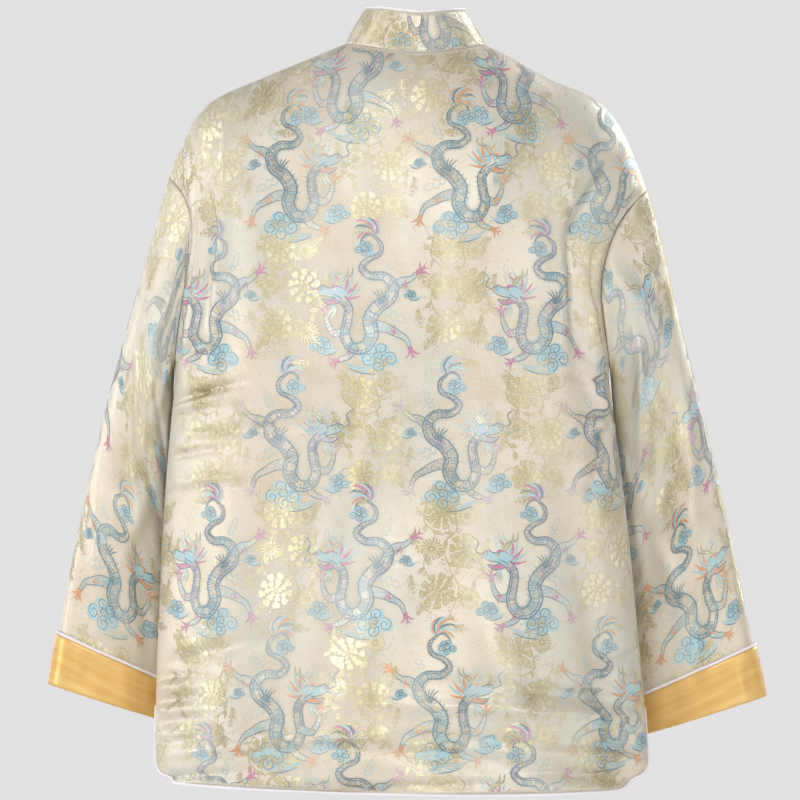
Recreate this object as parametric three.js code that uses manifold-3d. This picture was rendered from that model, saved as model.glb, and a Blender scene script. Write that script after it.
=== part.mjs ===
// Tang jacket in its worn form with no wearer, hollow and open at neck, hem, vents and cuffs.
// Millimetres, +Z up. The jacket faces -Y, its wearer's left is +X. The origin lies at the height
// of the back neck seam, in the middle between the shoulders.
import * as THREE from 'three';
import { mergeVertices } from 'three/addons/utils/BufferGeometryUtils.js';
import Module from 'manifold-3d';

const manifold = await Module();
manifold.setup();

const DEG = Math.PI / 180;
const CLOTH = 2.0; // brocade with its interlining
const SEAM = 0.3; // gap between sewn pieces

// Torso sections: reach to the wearer's left and right, depth of back and front,
// and the power that makes a section boxy (under 1) or pointed at the sides (over 1).
const TORSO = [
  { z: -740, left: 249, right: 245, back: 106, front: 108, point: 1.15 },
  { z: -650, left: 249, right: 239, back: 104, front: 112, point: 1.12 },
  { z: -560, left: 246, right: 231, back: 100, front: 117, point: 1.05 },
  { z: -460, left: 241, right: 221, back: 97, front: 121, point: 0.95 },
  { z: -360, left: 233, right: 208, back: 103, front: 124, point: 0.86 },
  { z: -260, left: 222, right: 197, back: 111, front: 121, point: 0.82 },
  { z: -160, left: 214, right: 190, back: 112, front: 112, point: 0.80 },
  { z: -60, left: 226, right: 226, back: 104, front: 98, point: 0.80 },
  { z: 20, left: 238, right: 242, back: 100, front: 90, point: 0.80 },
];

// Armhole edge from the underarm (run 0) to the shoulder point (run 1), as reach from the middle.
const ARMHOLE = [
  { run: 0.00, left: 230, right: 204 },
  { run: 0.20, left: 225, right: 198 },
  { run: 0.45, left: 218, right: 195 },
  { run: 0.65, left: 213, right: 202 },
  { run: 0.80, left: 214, right: 213 },
  { run: 0.92, left: 223, right: 228 },
  { run: 1.00, left: 236, right: 242 },
];
const UNDERARM_Z = -310;
const SHOULDER_POINT = { left: { reach: 236, z: -125 }, right: { reach: 242, z: -138 } };
const ARMHOLE_DEPTH = 38; // half of the armhole's width, front to back
const SHOULDER_Y = -10; // the shoulder seam lies a little forward

// Ridge of the shoulders: height against reach from the middle. Inside the neck it is only a guide.
const SHOULDER_LINE = {
  left: [
    { reach: 0, z: 21 }, { reach: 30, z: 18 }, { reach: 58, z: 9 }, { reach: 78, z: 1 },
    { reach: 148, z: -28 }, { reach: 190, z: -47 },
    { reach: 210, z: -67 }, { reach: 222, z: -90 }, { reach: 231, z: -110 }, { reach: 236, z: -125 },
  ],
  right: [
    { reach: 0, z: 21 }, { reach: 45, z: 18 }, { reach: 78, z: 8 }, { reach: 96, z: 0 },
    { reach: 147, z: -28 }, { reach: 191, z: -47 },
    { reach: 211, z: -68 }, { reach: 223, z: -90 }, { reach: 233, z: -114 }, { reach: 242, z: -138 },
  ],
};

// Hem height against x; the wearer's left side hangs a little higher.
const HEM_LINE = [
  { x: -245, z: -734 }, { x: -120, z: -737 }, { x: 40, z: -736 }, { x: 150, z: -732 }, { x: 250, z: -727 },
];
const CORNER_RADIUS = { left: 25, right: 34 };
const VENT_TOP = -633;
const VENT_OPEN = 9; // each vent edge stands this far off the side line
const VENT_FADE = 34; // height over which a vent comes open

// Neck seam, an ellipse seen from above that is cut out of the shoulders' surface.
const NECK = { x: -10.5, halfWidth: 70, halfDepth: 60 };
const COLLAR = { height: 40, leanSide: 0.50, leanFront: 0.10, cornerRadius: 14 };
const SETTLE = 130; // fall below the shoulders over which the sections of the table take over
const SIDE_BAND = 12; // power that keeps the armhole's and the vent's shape near the side
const SEAM_BAND = 90; // power that keeps the armhole's own curve at the seam
const FOLD_START = 90; // folds come in over this fall below the shoulders

// Height over which the shoulders round over into the back, and into the chest at its middle.
const ROUND = { back: 150, chest: 410, chestEnds: 50 * DEG };

// Sleeve sections from the armhole (run 0) to the sleeve's end (run 1): reach and height of the
// outer edge and of the inner edge, on each side, their places front to back, and half the depth.
const SLEEVE = [
  { run: 0.00, outL: 236, outR: 242, outZL: -125, outZR: -138, inL: 230, inR: 204,
    inZL: -310, inZR: -310, outY: -10, inY: 0, depth: 38 },
  { run: 0.12, outL: 253, outR: 257, outZL: -188, outZR: -192, inL: 234, inR: 209,
    inZL: -334, inZR: -336, outY: -11, inY: -15, depth: 43 },
  { run: 0.28, outL: 273, outR: 273, outZL: -258, outZR: -262, inL: 233, inR: 211,
    inZL: -385, inZR: -389, outY: -16, inY: -38, depth: 44 },
  { run: 0.46, outL: 297, outR: 294, outZL: -345, outZR: -345, inL: 234, inR: 217,
    inZL: -450, inZR: -456, outY: -24, inY: -54, depth: 41 },
  { run: 0.66, outL: 319, outR: 318, outZL: -440, outZR: -446, inL: 229, inR: 219,
    inZL: -527, inZR: -535, outY: -34, inY: -68, depth: 38 },
  { run: 0.84, outL: 338, outR: 338, outZL: -530, outZR: -538, inL: 226, inR: 222,
    inZL: -600, inZR: -610, outY: -42, inY: -76, depth: 36 },
  { run: 1.00, outL: 356, outR: 361, outZL: -633, outZR: -645, inL: 231, inR: 233,
    inZL: -675, inZR: -688, outY: -46, inY: -80, depth: 35 },
];
const BOW_RUN = 0.22; // run over which the armhole's curve dies out in the sleeve
const LEVEL_RUN = 0.1; // run over which the sleeve leaves the shoulder seam's place
const CUFF = { height: 50, gap: 0.6 };
const PIPING_RADIUS = 1.6;
const PIPING_SIDES = 6;

// Frog closures down the centre front.
const FROG = { count: 7, first: -82, pitch: 80, length: 46, cord: 2.2, stem: 1.2, knot: 5.6 };

// Main folds of the torso: place round the body in degrees from the centre back, lean in degrees
// per 100 mm of fall, height of the middle, half-length, half-width in degrees, depth.
const BODY_FOLDS = [
  { name: 'left armhole fold', at: 66, lean: -1, z: -235, reach: 120, width: 6, depth: -7 },
  { name: 'right armhole fold', at: -64, lean: 2, z: -225, reach: 130, width: 6, depth: -8 },
  { name: 'left blade ridge', at: 44, lean: -3, z: -260, reach: 150, width: 9, depth: 4 },
  { name: 'right blade ridge', at: -45, lean: 4, z: -250, reach: 160, width: 9, depth: 4 },
  { name: 'left side drape', at: 62, lean: 3, z: -520, reach: 190, width: 8, depth: -5 },
  { name: 'right side drape', at: -58, lean: -6, z: -600, reach: 170, width: 8, depth: -6 },
  { name: 'right hem wave', at: -34, lean: -9, z: -700, reach: 120, width: 9, depth: 5 },
  { name: 'middle hem roll', at: 6, lean: 4, z: -760, reach: 90, width: 12, depth: -6 },
  { name: 'left hem wave', at: 33, lean: 6, z: -720, reach: 130, width: 9, depth: 4 },
  { name: 'left chest fold', at: 118, lean: 2, z: -260, reach: 130, width: 6, depth: -7 },
  { name: 'right chest fold', at: -118, lean: -2, z: -250, reach: 130, width: 6, depth: -7 },
  { name: 'left front drape', at: 130, lean: 4, z: -540, reach: 190, width: 9, depth: -5 },
  { name: 'right front drape', at: -127, lean: -5, z: -560, reach: 190, width: 9, depth: -5 },
  { name: 'left front wave', at: 152, lean: 3, z: -690, reach: 140, width: 8, depth: 4 },
  { name: 'right front wave', at: -150, lean: -4, z: -680, reach: 140, width: 8, depth: 4 },
];

// Main folds of a sleeve: place round it in degrees from the outer edge, towards the back,
// middle and half-length along the run, half-width in degrees, lean in degrees per run, depth.
const SLEEVE_FOLDS = [
  { at: 62, run: 0.30, reach: 0.26, width: 20, lean: 60, depth: -5 },
  { at: 108, run: 0.50, reach: 0.30, width: 18, lean: -30, depth: -5 },
  { at: 30, run: 0.66, reach: 0.26, width: 18, lean: 40, depth: -4 },
  { at: 250, run: 0.36, reach: 0.28, width: 20, lean: -50, depth: -5 },
  { at: 300, run: 0.62, reach: 0.26, width: 18, lean: 40, depth: -4 },
];

// Small numeric helpers
const clamp = (value, low, high) => Math.min(high, Math.max(low, value));
const mix = (a, b, k) => a + (b - a) * k;
const smooth = (k) => {
  const c = clamp(k, 0, 1);
  return c * c * (3 - 2 * c);
};
const sideOf = (x) => (x >= 0 ? 'left' : 'right');

// Smooth value of one column of a table at a key, through every row.
function track(rows, keyName, column, key) {
  const last = rows.length - 1;
  const rising = rows[last][keyName] > rows[0][keyName];
  const at = clamp(key, Math.min(rows[0][keyName], rows[last][keyName]),
    Math.max(rows[0][keyName], rows[last][keyName]));
  let i = 0;
  while (i < last - 1 && (rising ? at > rows[i + 1][keyName] : at < rows[i + 1][keyName])) i += 1;
  const slope = (n) => {
    const a = rows[Math.max(n - 1, 0)];
    const b = rows[Math.min(n + 1, last)];
    return (b[column] - a[column]) / (b[keyName] - a[keyName]);
  };
  const a = rows[i];
  const b = rows[i + 1];
  const span = b[keyName] - a[keyName];
  const k = (at - a[keyName]) / span;
  const k2 = k * k;
  const k3 = k2 * k;
  return (2 * k3 - 3 * k2 + 1) * a[column] + (k3 - 2 * k2 + k) * span * slope(i)
    + (3 * k2 - 2 * k3) * b[column] + (k3 - k2) * span * slope(i + 1);
}

// Height of a panel's hem at a place round the body, with its rounded vent corner.
function hemZ(theta) {
  const side = sideOf(Math.sin(theta));
  const reach = TORSO[0][side];
  const x = reach * Math.sin(theta);
  const radius = CORNER_RADIUS[side];
  const inset = clamp(reach - Math.abs(x), 0, radius);
  const rise = radius - Math.sqrt(radius * radius - (radius - inset) * (radius - inset));
  return track(HEM_LINE, 'x', 'z', x) + rise;
}

// Offset of the folds at a place round the body (degrees from the centre back) and a height.
function foldDepth(degrees, z) {
  let depth = 0;
  for (const fold of BODY_FOLDS) {
    const middle = fold.at + fold.lean * (fold.z - z) / 100;
    const across = (degrees - middle) / fold.width;
    const along = (z - fold.z) / fold.reach;
    depth += fold.depth * Math.exp(-across * across - along * along);
  }
  return depth;
}

// Height of the shoulders' ridge at a place round the body.
function ridgeZ(theta) {
  const side = sideOf(Math.sin(theta));
  return track(SHOULDER_LINE[side], 'reach', 'z', SHOULDER_POINT[side].reach * Math.abs(Math.sin(theta)));
}

// Point on the outside of the torso. facing is 1 on the back and -1 on the front.
function torsoPoint(theta, facing, z) {
  const sin = Math.sin(theta);
  const cos = Math.max(Math.cos(theta), 0);
  const side = sideOf(sin);
  const sign = side === 'left' ? 1 : -1;
  const shoulder = SHOULDER_POINT[side];
  const fall = Math.max(0, ridgeZ(theta) - z);
  const edge = Math.pow(Math.abs(sin), SIDE_BAND);
  const rim = Math.pow(Math.abs(sin), SEAM_BAND);
  const body = track(TORSO, 'z', side, z);
  const reach = mix(shoulder.reach, body, smooth(fall / SETTLE)) * Math.abs(sin);
  const run = clamp((z - UNDERARM_Z) / (shoulder.z - UNDERARM_Z), 0, 1);
  const plainEdge = mix(shoulder.reach, body, smooth((shoulder.z - z) / SETTLE));
  const armX = z > UNDERARM_Z ? track(ARMHOLE, 'run', side, run) : plainEdge;
  const x = sign * (reach + edge * (armX - plainEdge));

  const roundness = facing > 0 ? ROUND.back
    : mix(ROUND.chest, ROUND.back, smooth(Math.abs(theta) / ROUND.chestEnds));
  const round = Math.sqrt(1 - Math.pow(1 - clamp(fall / roundness, 0, 1), 2));
  const depth = track(TORSO, 'z', facing > 0 ? 'back' : 'front', z);
  const lens = facing * depth * Math.pow(cos, track(TORSO, 'z', 'point', z));
  const seamY = SHOULDER_Y * smooth((z - UNDERARM_Z) / (shoulder.z - UNDERARM_Z));
  const ring = 2 * run - 1;
  const loop = ARMHOLE_DEPTH * Math.sqrt(Math.max(0, 1 - ring * ring));
  const swell = (z - (UNDERARM_Z + shoulder.z) / 2) / (shoulder.z - UNDERARM_Z);
  const softLoop = ARMHOLE_DEPTH * Math.pow(Math.max(0, 1 - swell * swell), 2);
  const vent = VENT_OPEN * smooth((VENT_TOP - z) / VENT_FADE);
  const armholeY = mix(edge * softLoop * smooth(2 * fall / SETTLE), loop, rim);
  const edgeY = facing * (armholeY + edge * vent + SEAM / 2);
  const y = seamY + round * (lens - seamY * cos) + edgeY;

  const degrees = facing > 0 ? theta / DEG : (Math.sign(sin) || 1) * 180 - theta / DEG;
  const fold = foldDepth(degrees, z) * (1 - edge) * smooth(fall / FOLD_START);
  return new THREE.Vector3(x + fold * sin, y + fold * cos * facing, z);
}

// Neck seam at an angle from the centre back (positive to the wearer's left): where the shoulders'
// surface has the depth that the neck's ellipse asks for.
function neckPoint(angle) {
  const facing = Math.abs(angle) <= Math.PI / 2 + 1e-9 ? 1 : -1;
  const x = NECK.x + NECK.halfWidth * Math.sin(angle);
  const theta = Math.asin(x / SHOULDER_POINT[sideOf(x)].reach);
  const depth = NECK.halfDepth * Math.abs(Math.cos(angle));
  let high = ridgeZ(theta);
  let low = high - ROUND.back;
  for (let step = 0; step < 40; step += 1) {
    const middle = (low + high) / 2;
    if (Math.abs(torsoPoint(theta, facing, middle).y - SHOULDER_Y) > depth + SEAM / 2) low = middle;
    else high = middle;
  }
  return { theta, point: torsoPoint(theta, facing, high) };
}

// Heights of a column's points from the hem to its top, denser at the underarm and the shoulder,
// where they meet the points of the sleeve's first ring.
function columnHeights(column, lowRows, highRows) {
  const heights = [];
  const hem = hemZ(column.theta);
  for (let j = 0; j < lowRows; j += 1) heights.push(mix(hem, UNDERARM_Z, j / lowRows));
  for (let j = 0; j <= highRows; j += 1) {
    heights.push(mix(UNDERARM_Z, column.topZ, (1 - Math.cos(Math.PI * (j / highRows))) / 2));
  }
  return heights;
}

const NECK_STEPS = 9;
const NECK_STEP = (90 * DEG) / NECK_STEPS;
const SHOULDER_STEPS = 8;
const LOW_ROWS = 10;
const HIGH_ROWS = 12;
const FRONT_HALF_GAP = 2 * PIPING_RADIUS + 1.4; // room for the piping of one front edge
const FRONT_EDGE = FRONT_HALF_GAP / NECK.halfWidth; // the same as an angle at the neck

// Columns of one half panel from its middle edge to its side: place round the body and top height.
function halfColumns(side, facing) {
  const sign = side === 'left' ? 1 : -1;
  const columns = [];
  for (let k = 0; k <= NECK_STEPS; k += 1) {
    const turn = facing > 0 ? k * NECK_STEP : Math.PI - Math.max(k * NECK_STEP, FRONT_EDGE);
    const { theta, point } = neckPoint(sign * turn);
    columns.push({ theta, topZ: point.z, onShoulder: k === NECK_STEPS });
  }
  const neckEnd = columns[NECK_STEPS].theta;
  for (let m = 1; m <= SHOULDER_STEPS; m += 1) {
    const theta = mix(neckEnd, sign * (Math.PI / 2), m / SHOULDER_STEPS);
    columns.push({ theta, topZ: ridgeZ(theta), onShoulder: true });
  }
  return columns;
}

// Outward normals of a grid of points, turned so that they point as `towards` says.
function gridNormals(grid, closed, towards) {
  const count = grid.length;
  return grid.map((line, i) => line.map((point, j) => {
    const before = closed ? grid[(i - 1 + count) % count] : grid[Math.max(i - 1, 0)];
    const after = closed ? grid[(i + 1) % count] : grid[Math.min(i + 1, count - 1)];
    const du = after[j].clone().sub(before[j]);
    const dv = line[Math.min(j + 1, line.length - 1)].clone().sub(line[Math.max(j - 1, 0)]);
    const normal = du.cross(dv).normalize();
    if (normal.dot(towards(point)) < 0) normal.negate();
    return normal;
  }));
}

// Closed wall between an outer grid of points and the same grid moved in by the cloth's thickness.
function wallGeometry(grid, normals, thickness, closed) {
  const count = grid.length;
  const rows = grid[0].length;
  const positions = [];
  const indices = [];
  for (const depth of [0, thickness]) {
    for (let i = 0; i < count; i += 1) {
      for (let j = 0; j < rows; j += 1) {
        const p = grid[i][j].clone().addScaledVector(normals[i][j], -depth);
        positions.push(p.x, p.y, p.z);
      }
    }
  }
  const id = (layer, i, j) => (layer * count + (i % count)) * rows + j;
  const quad = (a, b, c, d) => indices.push(a, b, c, a, c, d);
  const spans = closed ? count : count - 1;
  for (let i = 0; i < spans; i += 1) {
    for (let j = 0; j < rows - 1; j += 1) {
      quad(id(0, i, j), id(0, i + 1, j), id(0, i + 1, j + 1), id(0, i, j + 1));
      quad(id(1, i, j), id(1, i, j + 1), id(1, i + 1, j + 1), id(1, i + 1, j));
    }
    quad(id(0, i, 0), id(1, i, 0), id(1, i + 1, 0), id(0, i + 1, 0));
    quad(id(0, i, rows - 1), id(0, i + 1, rows - 1), id(1, i + 1, rows - 1), id(1, i, rows - 1));
  }
  if (!closed) {
    for (let j = 0; j < rows - 1; j += 1) {
      quad(id(0, 0, j), id(0, 0, j + 1), id(1, 0, j + 1), id(1, 0, j));
      quad(id(0, count - 1, j), id(1, count - 1, j), id(1, count - 1, j + 1), id(0, count - 1, j + 1));
    }
  }
  const geometry = new THREE.BufferGeometry();
  geometry.setAttribute('position', new THREE.Float32BufferAttribute(positions, 3));
  geometry.setIndex(indices);
  if (signedVolume(geometry) < 0) geometry.setIndex(flipped(indices));
  geometry.computeVertexNormals();
  return geometry;
}

function flipped(indices) {
  const turned = [];
  for (let k = 0; k < indices.length; k += 3) turned.push(indices[k], indices[k + 2], indices[k + 1]);
  return turned;
}

function signedVolume(geometry) {
  const p = geometry.getAttribute('position');
  const index = geometry.getIndex();
  const a = new THREE.Vector3();
  const b = new THREE.Vector3();
  const c = new THREE.Vector3();
  let volume = 0;
  for (let k = 0; k < index.count; k += 3) {
    a.fromBufferAttribute(p, index.getX(k));
    b.fromBufferAttribute(p, index.getX(k + 1));
    c.fromBufferAttribute(p, index.getX(k + 2));
    volume += a.dot(b.cross(c)) / 6;
  }
  return volume;
}

// Closed cord of an oval section along a path. Each stop has a centre, a side direction, an up
// direction and the half sizes along them.
function cordGeometry(stops, sides, closed) {
  const positions = [];
  const indices = [];
  for (const stop of stops) {
    for (let k = 0; k < sides; k += 1) {
      const turn = (2 * Math.PI * k) / sides;
      const p = stop.centre.clone()
        .addScaledVector(stop.side, Math.cos(turn) * stop.halfWidth)
        .addScaledVector(stop.up, Math.sin(turn) * stop.halfHeight);
      positions.push(p.x, p.y, p.z);
    }
  }
  const count = stops.length;
  const spans = closed ? count : count - 1;
  const id = (i, k) => (i % count) * sides + (k % sides);
  for (let i = 0; i < spans; i += 1) {
    for (let k = 0; k < sides; k += 1) {
      indices.push(id(i, k), id(i + 1, k), id(i + 1, k + 1), id(i, k), id(i + 1, k + 1), id(i, k + 1));
    }
  }
  if (!closed) {
    for (let k = 1; k < sides - 1; k += 1) {
      indices.push(id(0, 0), id(0, k), id(0, k + 1));
      indices.push(id(count - 1, 0), id(count - 1, k + 1), id(count - 1, k));
    }
  }
  const geometry = new THREE.BufferGeometry();
  geometry.setAttribute('position', new THREE.Float32BufferAttribute(positions, 3));
  geometry.setIndex(indices);
  if (signedVolume(geometry) < 0) geometry.setIndex(flipped(indices));
  geometry.computeVertexNormals();
  return geometry;
}

// Piping along an edge: points of the edge, their outside normals and the way out of the cloth.
function pipingStops(edge, closed) {
  const count = edge.length;
  return edge.map((item, i) => {
    const before = edge[closed ? (i - 1 + count) % count : Math.max(i - 1, 0)];
    const after = edge[closed ? (i + 1) % count : Math.min(i + 1, count - 1)];
    const along = after.point.clone().sub(before.point).normalize();
    const out = along.clone().cross(item.normal).normalize();
    if (out.dot(item.outward) < 0) out.negate();
    const centre = item.point.clone()
      .addScaledVector(item.normal, PIPING_RADIUS - CLOTH)
      .addScaledVector(out, PIPING_RADIUS + SEAM);
    return { centre, side: out, up: item.normal, halfWidth: PIPING_RADIUS, halfHeight: PIPING_RADIUS };
  });
}

// Materials
const brocade = new THREE.MeshStandardMaterial({ color: 0xd8cbb4, roughness: 0.55, metalness: 0.0 });
const satin = new THREE.MeshStandardMaterial({ color: 0xd9b26e, roughness: 0.42, metalness: 0.0 });
const trim = new THREE.MeshStandardMaterial({ color: 0xece6e6, roughness: 0.5, metalness: 0.0 });

const jacket = new THREE.Group();
function addPiece(name, geometry, material) {
  const mesh = new THREE.Mesh(geometry, material.clone());
  mesh.name = name;
  jacket.add(mesh);
}

// Torso panels
function panelGrid(columns, facing) {
  return columns.map((column) => columnHeights(column, LOW_ROWS, HIGH_ROWS)
    .map((z) => torsoPoint(column.theta, facing, z)));
}

// Normals of a panel, made equal to its neighbour's along the side seam and the shoulder seam.
function panelNormals(grid, columns, facing, bothSides) {
  const towards = (p) => new THREE.Vector3(p.x * 0.4, p.y, Math.max(0, p.z + 150));
  const normals = gridNormals(grid, false, towards);
  const last = columns.length - 1;
  const sides = bothSides ? [0, last] : [last];
  for (const i of sides) {
    const across = new THREE.Vector3(Math.sign(columns[i].theta), 0, 0);
    normals[i] = normals[i].map((normal, j) => {
      const line = grid[i];
      const along = line[Math.min(j + 1, line.length - 1)].clone().sub(line[Math.max(j - 1, 0)]);
      const turned = new THREE.Vector3(0, 1, 0).cross(along).normalize();
      if (turned.dot(across) < 0) turned.negate();
      return j > LOW_ROWS ? normal : turned;
    });
  }
  const onShoulder = (i) => i >= 0 && i <= last && columns[i].onShoulder;
  for (let i = 0; i <= last; i += 1) {
    if (onShoulder(i)) {
      const top = grid[i].length - 1;
      const before = grid[onShoulder(i - 1) ? i - 1 : i][top];
      const after = grid[onShoulder(i + 1) ? i + 1 : i][top];
      const normal = after.clone().sub(before).cross(new THREE.Vector3(0, 1, 0)).normalize();
      if (normal.z < 0) normal.negate();
      normals[i][top] = normal;
    }
  }
  return normals;
}

const backColumns = [...halfColumns('right', 1).reverse().slice(0, -1), ...halfColumns('left', 1)];
const panels = {
  back_panel: { columns: backColumns, facing: 1, both: true },
  front_left: { columns: halfColumns('left', -1), facing: -1, both: false },
  front_right: { columns: halfColumns('right', -1), facing: -1, both: false },
};
for (const [name, panel] of Object.entries(panels)) {
  panel.grid = panelGrid(panel.columns, panel.facing);
  panel.normals = panelNormals(panel.grid, panel.columns, panel.facing, panel.both);
  addPiece(name, wallGeometry(panel.grid, panel.normals, CLOTH, false), brocade);
}

// Sleeves
function sleevePoint(side, run, angle) {
  const sign = side === 'left' ? 1 : -1;
  const letter = side === 'left' ? 'L' : 'R';
  const value = (column) => track(SLEEVE, 'run', column, run);
  const share = (1 + Math.cos(angle)) / 2;
  const z = mix(value(`inZ${letter}`), value(`outZ${letter}`), share);
  const straight = mix(value(`in${letter}`), value(`out${letter}`), share);
  const chord = mix(SLEEVE[0][`in${letter}`], SLEEVE[0][`out${letter}`], share);
  const armhole = track(ARMHOLE, 'run', side, share) - chord;
  const bow = armhole * (1 - smooth(run / BOW_RUN));
  const start = SHOULDER_Y * smooth(share);
  const middle = mix(start, mix(value('inY'), value('outY'), share), smooth(run / LEVEL_RUN));
  let depth = value('depth');
  for (const fold of SLEEVE_FOLDS) {
    const centre = fold.at + fold.lean * (run - fold.run);
    const turn = ((angle / DEG) % 360 + 360) % 360;
    const across = (turn - centre) / fold.width;
    const along = (run - fold.run) / fold.reach;
    depth += fold.depth * Math.exp(-across * across - along * along);
  }
  return new THREE.Vector3(
    sign * (straight + bow + SEAM),
    middle + depth * Math.sin(angle),
    z - 2 * SEAM * share * share,
  );
}

const SLEEVE_SIDES = 2 * HIGH_ROWS;
const SLEEVE_ROWS = 18;
const CUFF_ROWS = 3;

// Point at a distance out from the sleeve's surface.
function sleeveOffset(side, run, angle, out) {
  const small = 1e-3;
  const point = sleevePoint(side, run, angle);
  const low = Math.max(run - small, 0);
  const high = Math.min(run + small, 1);
  const along = sleevePoint(side, high, angle).sub(sleevePoint(side, low, angle));
  const around = sleevePoint(side, run, angle + small).sub(sleevePoint(side, run, angle - small));
  const normal = along.cross(around).normalize();
  const middle = sleevePoint(side, run, 0).add(sleevePoint(side, run, Math.PI)).multiplyScalar(0.5);
  if (normal.dot(point.clone().sub(middle)) < 0) normal.negate();
  return { point: point.addScaledVector(normal, out), normal };
}

function sleeveBand(side, from, to, rows, out) {
  const grid = [];
  const normals = [];
  for (let i = 0; i < SLEEVE_SIDES; i += 1) {
    const angle = (2 * Math.PI * i) / SLEEVE_SIDES;
    const line = [];
    for (let j = 0; j <= rows; j += 1) line.push(sleeveOffset(side, mix(from, to, j / rows), angle, out));
    grid.push(line.map((item) => item.point));
    normals.push(line.map((item) => item.normal));
  }
  return { grid, normals };
}

for (const side of ['left', 'right']) {
  const outer = sleevePoint(side, 1, 0);
  const length = outer.distanceTo(sleevePoint(side, 0.84, 0)) / 0.16;
  const cuffTop = 1 - CUFF.height / length;
  const sleeve = sleeveBand(side, 0, 1, SLEEVE_ROWS, 0);
  addPiece(`sleeve_${side}`, wallGeometry(sleeve.grid, sleeve.normals, CLOTH, true), brocade);
  const cuff = sleeveBand(side, cuffTop, 1, CUFF_ROWS, CUFF.gap + CLOTH);
  addPiece(`cuff_${side}`, wallGeometry(cuff.grid, cuff.normals, CLOTH, true), satin);
  const edge = cuff.grid.map((line, i) => ({
    point: line[0],
    normal: cuff.normals[i][0],
    outward: line[0].clone().sub(line[1]),
  }));
  addPiece(`piping_cuff_${side}`, cordGeometry(pipingStops(edge, true), PIPING_SIDES, true), trim);
}

// Collar: a band from the centre front round the back of the neck, with a rounded corner at each end
const COLLAR_ROWS = 3;
const frontAngle = Math.PI - FRONT_EDGE;
function seamPoint(angle) {
  const sign = Math.sign(angle) || 1;
  const turn = Math.abs(angle);
  const low = Math.floor(turn / NECK_STEP + 1e-9) * NECK_STEP;
  const high = Math.min(low + NECK_STEP, frontAngle);
  const share = high > low ? (turn - low) / (high - low) : 0;
  return neckPoint(sign * low).point.lerp(neckPoint(sign * high).point, share);
}
function collarPoint(angle, up) {
  const base = seamPoint(angle);
  const s = Math.sin(angle);
  const c = Math.cos(angle);
  const lean = Math.hypot(COLLAR.leanSide * s, COLLAR.leanFront * c);
  const rise = Math.sqrt(1 - lean * lean);
  return base.add(new THREE.Vector3(-COLLAR.leanSide * s * up, -COLLAR.leanFront * c * up, rise * up + SEAM));
}
const halfCollar = [];
for (let k = 1; k < 2 * NECK_STEPS; k += 1) halfCollar.push(k * NECK_STEP);
for (const share of [0.45, 0.75, 0.93, 1]) {
  halfCollar.push(mix((2 * NECK_STEPS - 1) * NECK_STEP, frontAngle, share));
}
const collarAngles = [...halfCollar.map((angle) => -angle).reverse(), 0, ...halfCollar];
const collarGrid = collarAngles.map((angle) => {
  const inset = clamp((frontAngle - Math.abs(angle)) * NECK.halfWidth, 0, COLLAR.cornerRadius);
  const cut = COLLAR.cornerRadius
    - Math.sqrt(COLLAR.cornerRadius ** 2 - (COLLAR.cornerRadius - inset) ** 2);
  const line = [];
  for (let j = 0; j <= COLLAR_ROWS; j += 1) {
    line.push(collarPoint(angle, (COLLAR.height - cut) * (j / COLLAR_ROWS)));
  }
  return line;
});
const neckAxis = new THREE.Vector3(NECK.x, SHOULDER_Y, 0);
const collarNormals = gridNormals(collarGrid, false, (p) => p.clone().sub(neckAxis).setZ(0));
addPiece('collar', wallGeometry(collarGrid, collarNormals, CLOTH, false), brocade);

// Piping of the collar, along the top and down the rounded ends
function edgeItem(grid, normals, i, j, inner) {
  return { point: grid[i][j], normal: normals[i][j], outward: grid[i][j].clone().sub(inner) };
}
const collarEdge = collarGrid.map((line, i) => edgeItem(collarGrid, collarNormals, i, COLLAR_ROWS, line[0]));
addPiece('piping_collar', cordGeometry(pipingStops(collarEdge, false), PIPING_SIDES, false), trim);

// Piping of the panels: down the front edge, along the hem and up to the top of the vent
function panelEdge(panel, fromFront) {
  const { grid, normals } = panel;
  const last = grid.length - 1;
  const clear = VENT_TOP - VENT_FADE * 0.75;
  const items = [];
  const ventRows = (i, inward) => {
    const rows = [];
    for (let j = 1; j < LOW_ROWS; j += 1) {
      if (grid[i][j].z < clear) rows.push(edgeItem(grid, normals, i, j, grid[inward][j]));
    }
    return rows;
  };
  if (fromFront) {
    for (let j = grid[0].length - 1; j > 0; j -= 1) items.push(edgeItem(grid, normals, 0, j, grid[1][j]));
  } else {
    items.push(...ventRows(0, 1).reverse());
  }
  for (let i = 0; i <= last; i += 1) items.push(edgeItem(grid, normals, i, 0, grid[i][1]));
  items.push(...ventRows(last, last - 1));
  return items;
}
for (const [name, panel] of Object.entries(panels)) {
  const edge = panelEdge(panel, name !== 'back_panel');
  const piping = name.replace('_panel', '');
  addPiece(`piping_${piping}`, cordGeometry(pipingStops(edge, false), PIPING_SIDES, false), trim);
}

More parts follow.
